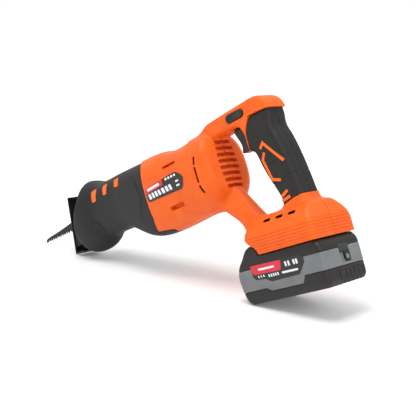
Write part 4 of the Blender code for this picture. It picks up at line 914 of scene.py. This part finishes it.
def build_nose():
    """Plunger, clamp barrel and its quick collar, turned about the plunger's axis."""
    points, faces = turned([(112, 0), (112, 6), (113, 7), (263, 7), (264, 6), (264, 0)], 64)
    make("plunger_rod", points, faces, steel_ground, PLUNGER, stands_for=["plunger"], slot="ground_steel")
    points, faces = turned([(258, 7.1), (258, 9.4), (258.6, 10), (290, 10), (291, 9), (291, 1.2), (268, 1.2),
                            (268, 7.1)], 64)
    make("clamp_barrel", points, faces, steel_ground, PLUNGER, stands_for=["blade_clamp"], slot="ground_steel")
    points, faces = turned([(263, 10.1), (263, 13.6), (264.6, 14.8), (266, 15.0), (281, 15.0), (282.4, 14.8),
                            (284, 13.6), (284, 10.1)], 288, collar_lobes)
    make("quick_collar", points, faces, abs_black, "collar_body", stands_for=["clamp_collar"], slot="black_plastic")


def build_shoe():
    """Bent sheet: one thickness along a run of lines, trimmed to a width, with a window for the blade and two
    drilled ears."""
    bend = [(291, 31.4), (308.6, 35.3), (324.7, -44.6), (291, -45.3)]
    ears = np.array([(316.5, -2), (323, -36), (286, -34.5), (278.5, -31), (276.5, -27), (278.5, -22.5),
                     (286, -19.5)])

    def shoe(x, y, z):
        side = np.abs(y)
        half = np.where((x < 306) & (z < -38), 9.0, np.where((x < 306) & (z > 20), 13.0, 18.0))
        sheet = blend_max(to_path(x, z, bend) - 1.25, side - half, 1.5)
        window = blend_max(np.maximum(side - 7.0, -26.0 - z), z - 24.0, 2.0)
        sheet = np.maximum(sheet, -np.maximum(window, 300 - x))
        ear = np.maximum(to_outline(x, z, ears), np.abs(side - 14.8) - 1.2)
        return np.maximum(np.minimum(sheet, ear), 3.06 - np.hypot(x - 284, z + 27))

    moulded_piece("shoe_sheet", shoe, (272, -20, -49), (330, 20, 40), 0.6, steel_black, "shoe_body",
                  stands_for=["shoe_plate"], slot="dark_steel")


def build_blade():
    """Blade by columns: a toothed edge below that climbs slowly to the tip, the back above, and at the edge a
    sine that sets the teeth to alternate sides."""
    tip, pitch, heel, climb = 416.0, 6.0, 322.0, 0.024
    count = int((tip - 314.0) / pitch)
    start = tip - 0.6 - count * pitch + pitch * np.arange(count)
    tooth = np.array([(0.0, -5.9), (0.25, -8.4), (1.25, -8.5), (2.4, -7.4), (3.8, -6.3), (5.2, -5.9)])
    teeth_x = (start[:, None] + tooth[:, 0]).ravel()
    teeth_z = np.tile(tooth[:, 1], count) + climb * (teeth_x - heel)
    edge_x = np.concatenate([[271, 292, 300, 306, 309], teeth_x, [tip - 0.6, tip]])
    edge_z = np.concatenate([[-6.4, -6.4, -6.4, -6.6, -6.2], teeth_z, [-6.1, -5.9]])
    back = smooth_line([(271, 6.4), (292, 6.4), (300, 8.0), (310, 8.0), (338, 5.4), (361, 3.0), (386, 1.2),
                        (405, 0.0), (411, -0.8), (414.5, -2.8), (416, -5.4)])
    x = np.unique(np.concatenate([edge_x, np.linspace(271, tip, 120)]))
    low = np.interp(x, edge_x, edge_z)
    high = np.maximum(back(x), low + 0.3)
    lean = np.where(x > 309, np.sin(np.pi * (x - start[0]) / pitch) * 0.35, 0.0)
    # Round the section: share of the way up, and half thickness there.
    section = [(0.0, 0.33), (0.18, 0.6), (0.5, 0.6), (0.9, 0.6), (1.0, 0.42)]
    around = [(share, -half) for share, half in section] + [(share, half) for share, half in reversed(section)]
    rings = [np.stack([x, half + lean * (share < 0.1), low + (high - low) * share], -1) for share, half in around]
    points, faces = closed_rings(np.array(rings).transpose(1, 0, 2))
    make("toothed_blade", points, faces, steel_blade, "blade_body", stands_for=["saw_blade"], slot="blade_steel",
         sharp=20)


# ---- battery -------------------------------------------------------------------------------------------------------
def build_battery():
    """Three mouldings stacked: tray, band and cover."""
    step = grid_step(0.85)
    for name, field, paint, node_name, slot, top in (
            ("pack_tray", pack_lower, abs_charcoal, "battery_case_lower", "pack_plastic", 22),
            ("pack_band", pack_band, abs_grey, "battery_band", "grey_plastic", 41),
            ("pack_cover", pack_upper, abs_charcoal, "battery_case_upper", "pack_plastic", 73)):
        moulded_piece(name, field, (-124, -41, -2), (10, 41, top), step, paint, BATTERY, stands_for=[node_name],
                      slot=slot, pack=True)


def build_pack_labels():
    """A dark film on each side of the battery with a red flash and plain light bars, with no lettering."""
    upper = ((-96.8, 38), (-95, 42), (-92.8, 42.6), (-20, 44), (-17.8, 42))
    lower = ((-96.8, 34), (-86.5, 22), (-44.4, 21.6), (-36, 26), (-22, 27.2), (-18.6, 30.5), (-17.8, 34))
    flash = ((-61.8, 31.6), (-19.6, 33.2), (-16.8, 43.9), (-64.6, 42.8))
    flash_bar = ((-53, 36.2), (-29, 36.8), (-28.4, 39.2), (-53.4, 38.6))
    bars = [slanted(x, 28.6, 1.6, 2.6, 0.6) for x in (-28, -32, -36)]
    bars += [slanted(x, 34, 2.6, 5.6, 0.4) for x in (-72, -76.6, -84, -88)]
    bars += [slanted(x, 26.8, 1.9, 3.4, 0.5) for x in (-44, -47.4, -50.8, -54.2, -57.6)]
    bars += [((-86, 26.8), (-62.5, 27.2), (-62, 29.6), (-86.4, 29.2))]
    for name, side in SIDES:
        points, faces = outline_plate(pack_skin, upper, lower, side, 0.45, 1.0)
        make("pack_label_" + name, points, faces, film_black, BATTERY, stands_for=["battery_label_" + name],
             slot="black_plastic", pack=True)
        points, faces = patch(pack_skin, flash, side, 0.6, 0.5, 12.0, 16)
        make("pack_flash_" + name, points, faces, film_red, BATTERY, slot="red_plastic", pack=True)
        points, faces = joined([patch(pack_skin, bar, side, 0.68, 0.4, 10.0, 6) for bar in bars]
                               + [patch(pack_skin, flash_bar, side, 0.8, 0.4, 10.0, 10)])
        make("pack_bars_" + name, points, faces, film_white, BATTERY, slot="grey_plastic", pack=True)


def build_pack_rear():
    """On the rear end, the charge gauge with five windows, its button and a rib at the near edge; in the front
    block, the release with a scooped, finely ribbed face."""
    def gauge(u, y, w):
        panel = block(u, y, w, (-121.2, -119.6, -12.2, 5.2, 33.5, 39.2), 0.5)
        shield = np.maximum(plan(w - 30.0, y - GAUGE_Y, 7.0, -7.0, 5.0, 4.6), np.abs(u + 120.6) - 0.9)
        return np.maximum(np.minimum(panel, shield), 3.2 - np.hypot(y - GAUGE_Y, w - GAUGE_W))

    def release(u, y, w):
        body = block(u, y, w, (-18, -9.6, -12.5, 12.5, 58.5, 67.5), 1.2)
        return np.maximum(body, 6.0 - np.hypot(u + 4.6, w - 63.0) + 0.3 * np.cos(y * 2.0))

    moulded_piece("gauge_panel", gauge, (-123, -14, 20), (-117, 7, 41), 0.4, abs_black, BATTERY,
                  stands_for=["charge_gauge"], slot="black_plastic", pack=True)
    points, faces = joined([bar_between((-121.0, y, 34.6), (-120.6, y, 43.6), 0.8, 0.8)
                            for y in (-10.6 + 3.5 * k for k in range(5))])
    make("gauge_windows", points, faces, clear_smoke, BATTERY, slot="grey_plastic", pack=True)
    points, faces = knob(-121.7, -119.8, (GAUGE_Y, GAUGE_W), 2.95)
    make("gauge_push", points, faces, abs_grey, "gauge_body", stands_for=["gauge_button"], slot="red_plastic",
         pack=True)
    points, faces = bar_between((-120.2, 12.0, 2.6), (-120.2, 12.0, 18.6), 1.5, 1.3)
    make("pack_rear_edge", points, faces, abs_charcoal, BATTERY, slot="pack_plastic", pack=True)
    moulded_piece("release_button", release, (-20, -14, 56), (-8, 14, 69), 0.5, abs_red, "release_body",
                  stands_for=["battery_release"], slot="red_plastic", pack=True)


# ---- floor, light and camera -----------------------------------------------------------------------------------------
def build_floor():
    """A wide flat floor of matt painted board, plain white, with painted light: it glows a little more the further it
    is.
    """
    mesh = bpy.data.meshes.new("floor")
    size = 6.0
    mesh.from_pydata([(-size, -size, 0), (size, -size, 0), (size, size, 0), (-size, size, 0)], [], [(0, 1, 2, 3)])
    floor = bpy.data.objects.new("floor", mesh)
    bpy.context.scene.collection.objects.link(floor)
    paint = surface("painted_board_white", "#EAEAEA", "#ECECEC", 0.7, 3.0, 0.0, Emission_Color=(1.0, 1.0, 1.0, 1.0))
    tree = paint.node_tree
    where = node(tree, "ShaderNodeTexCoord").outputs["Object"]
    away = node(tree, "ShaderNodeVectorMath", {0: where}, operation="LENGTH")
    # Painted light: emission from 0.12 near the tool to 0.6 far off lifts the tool's shadow and brightens the far floor
    # to white.
    glow = node(tree, "ShaderNodeMapRange", {"Value": away.outputs["Value"], "From Min": 0.3, "From Max": 1.4,
                                             "To Min": 0.12, "To Max": 0.6})
    tree.links.new(glow.outputs["Result"], tree.nodes["Principled BSDF"].inputs["Emission Strength"])
    mesh.materials.append(paint)


def build_light():
    """A white surround, brighter ahead and to the right of the tool, and two soft lamps."""
    world = bpy.data.worlds.new("studio")
    bpy.context.scene.world = world
    world.use_nodes = True
    tree = world.node_tree
    background = tree.nodes["Background"]
    background.inputs["Color"].default_value = (1.0, 1.0, 1.0, 1.0)
    toward = node(tree, "ShaderNodeTexCoord").outputs["Generated"]
    ahead = node(tree, "ShaderNodeVectorMath", {0: toward, 1: (0.70, -0.72, 0.0)}, operation="DOT_PRODUCT")
    level = node(tree, "ShaderNodeMapRange", {"Value": ahead.outputs["Value"], "From Min": 0.1, "From Max": 0.7,
                                              "To Min": 0.6, "To Max": 1.02})
    tree.links.new(level.outputs["Result"], background.inputs["Strength"])
    for name, place, size, power in (("key", (-0.1, 0.6, 2.1), 1.1, 30.0), ("side", (-1.6, 0.4, 0.9), 0.9, 7.0)):
        data = bpy.data.lights.new(name, "AREA")
        data.size = size
        data.energy = power
        lamp = bpy.data.objects.new(name, data)
        lamp.location = place
        lamp.rotation_euler = (-Vector(place) + Vector((0, 0, 0.1))).to_track_quat("-Z", "Y").to_euler()
        bpy.context.scene.collection.objects.link(lamp)


def build_camera():
    """The camera, set back from a point in the saw's middle by an azimuth, a height angle and a distance."""
    azimuth, height, distance = math.radians(44.23), math.radians(9.52), 1043.56
    back = np.array([-math.sin(azimuth) * math.cos(height), math.cos(azimuth) * math.cos(height), math.sin(height)])
    aim = np.array([103.8 - ROW_SHIFT, 0.0, 98.76 - SETTLE])
    data = bpy.data.cameras.new("camera")
    data.lens = 71.8
    data.sensor_width = 36.0
    made = bpy.data.objects.new("camera", data)
    made.location = Vector((aim + distance * back) * MM)
    made.rotation_euler = Vector(-back).to_track_quat("-Z", "Y").to_euler()
    bpy.context.scene.collection.objects.link(made)
    bpy.context.scene.camera = made


build_camera()
build_floor()
build_light()
paint_cad_nodes()
build_housing()
build_grip_lines()
build_boot()
build_boss()
build_foot_bands()
build_name_plates()
build_controls()
build_nose()
build_shoe()
build_blade()
build_battery()
build_pack_labels()
build_pack_rear()
bpy.context.scene.view_settings.view_transform = "Standard"
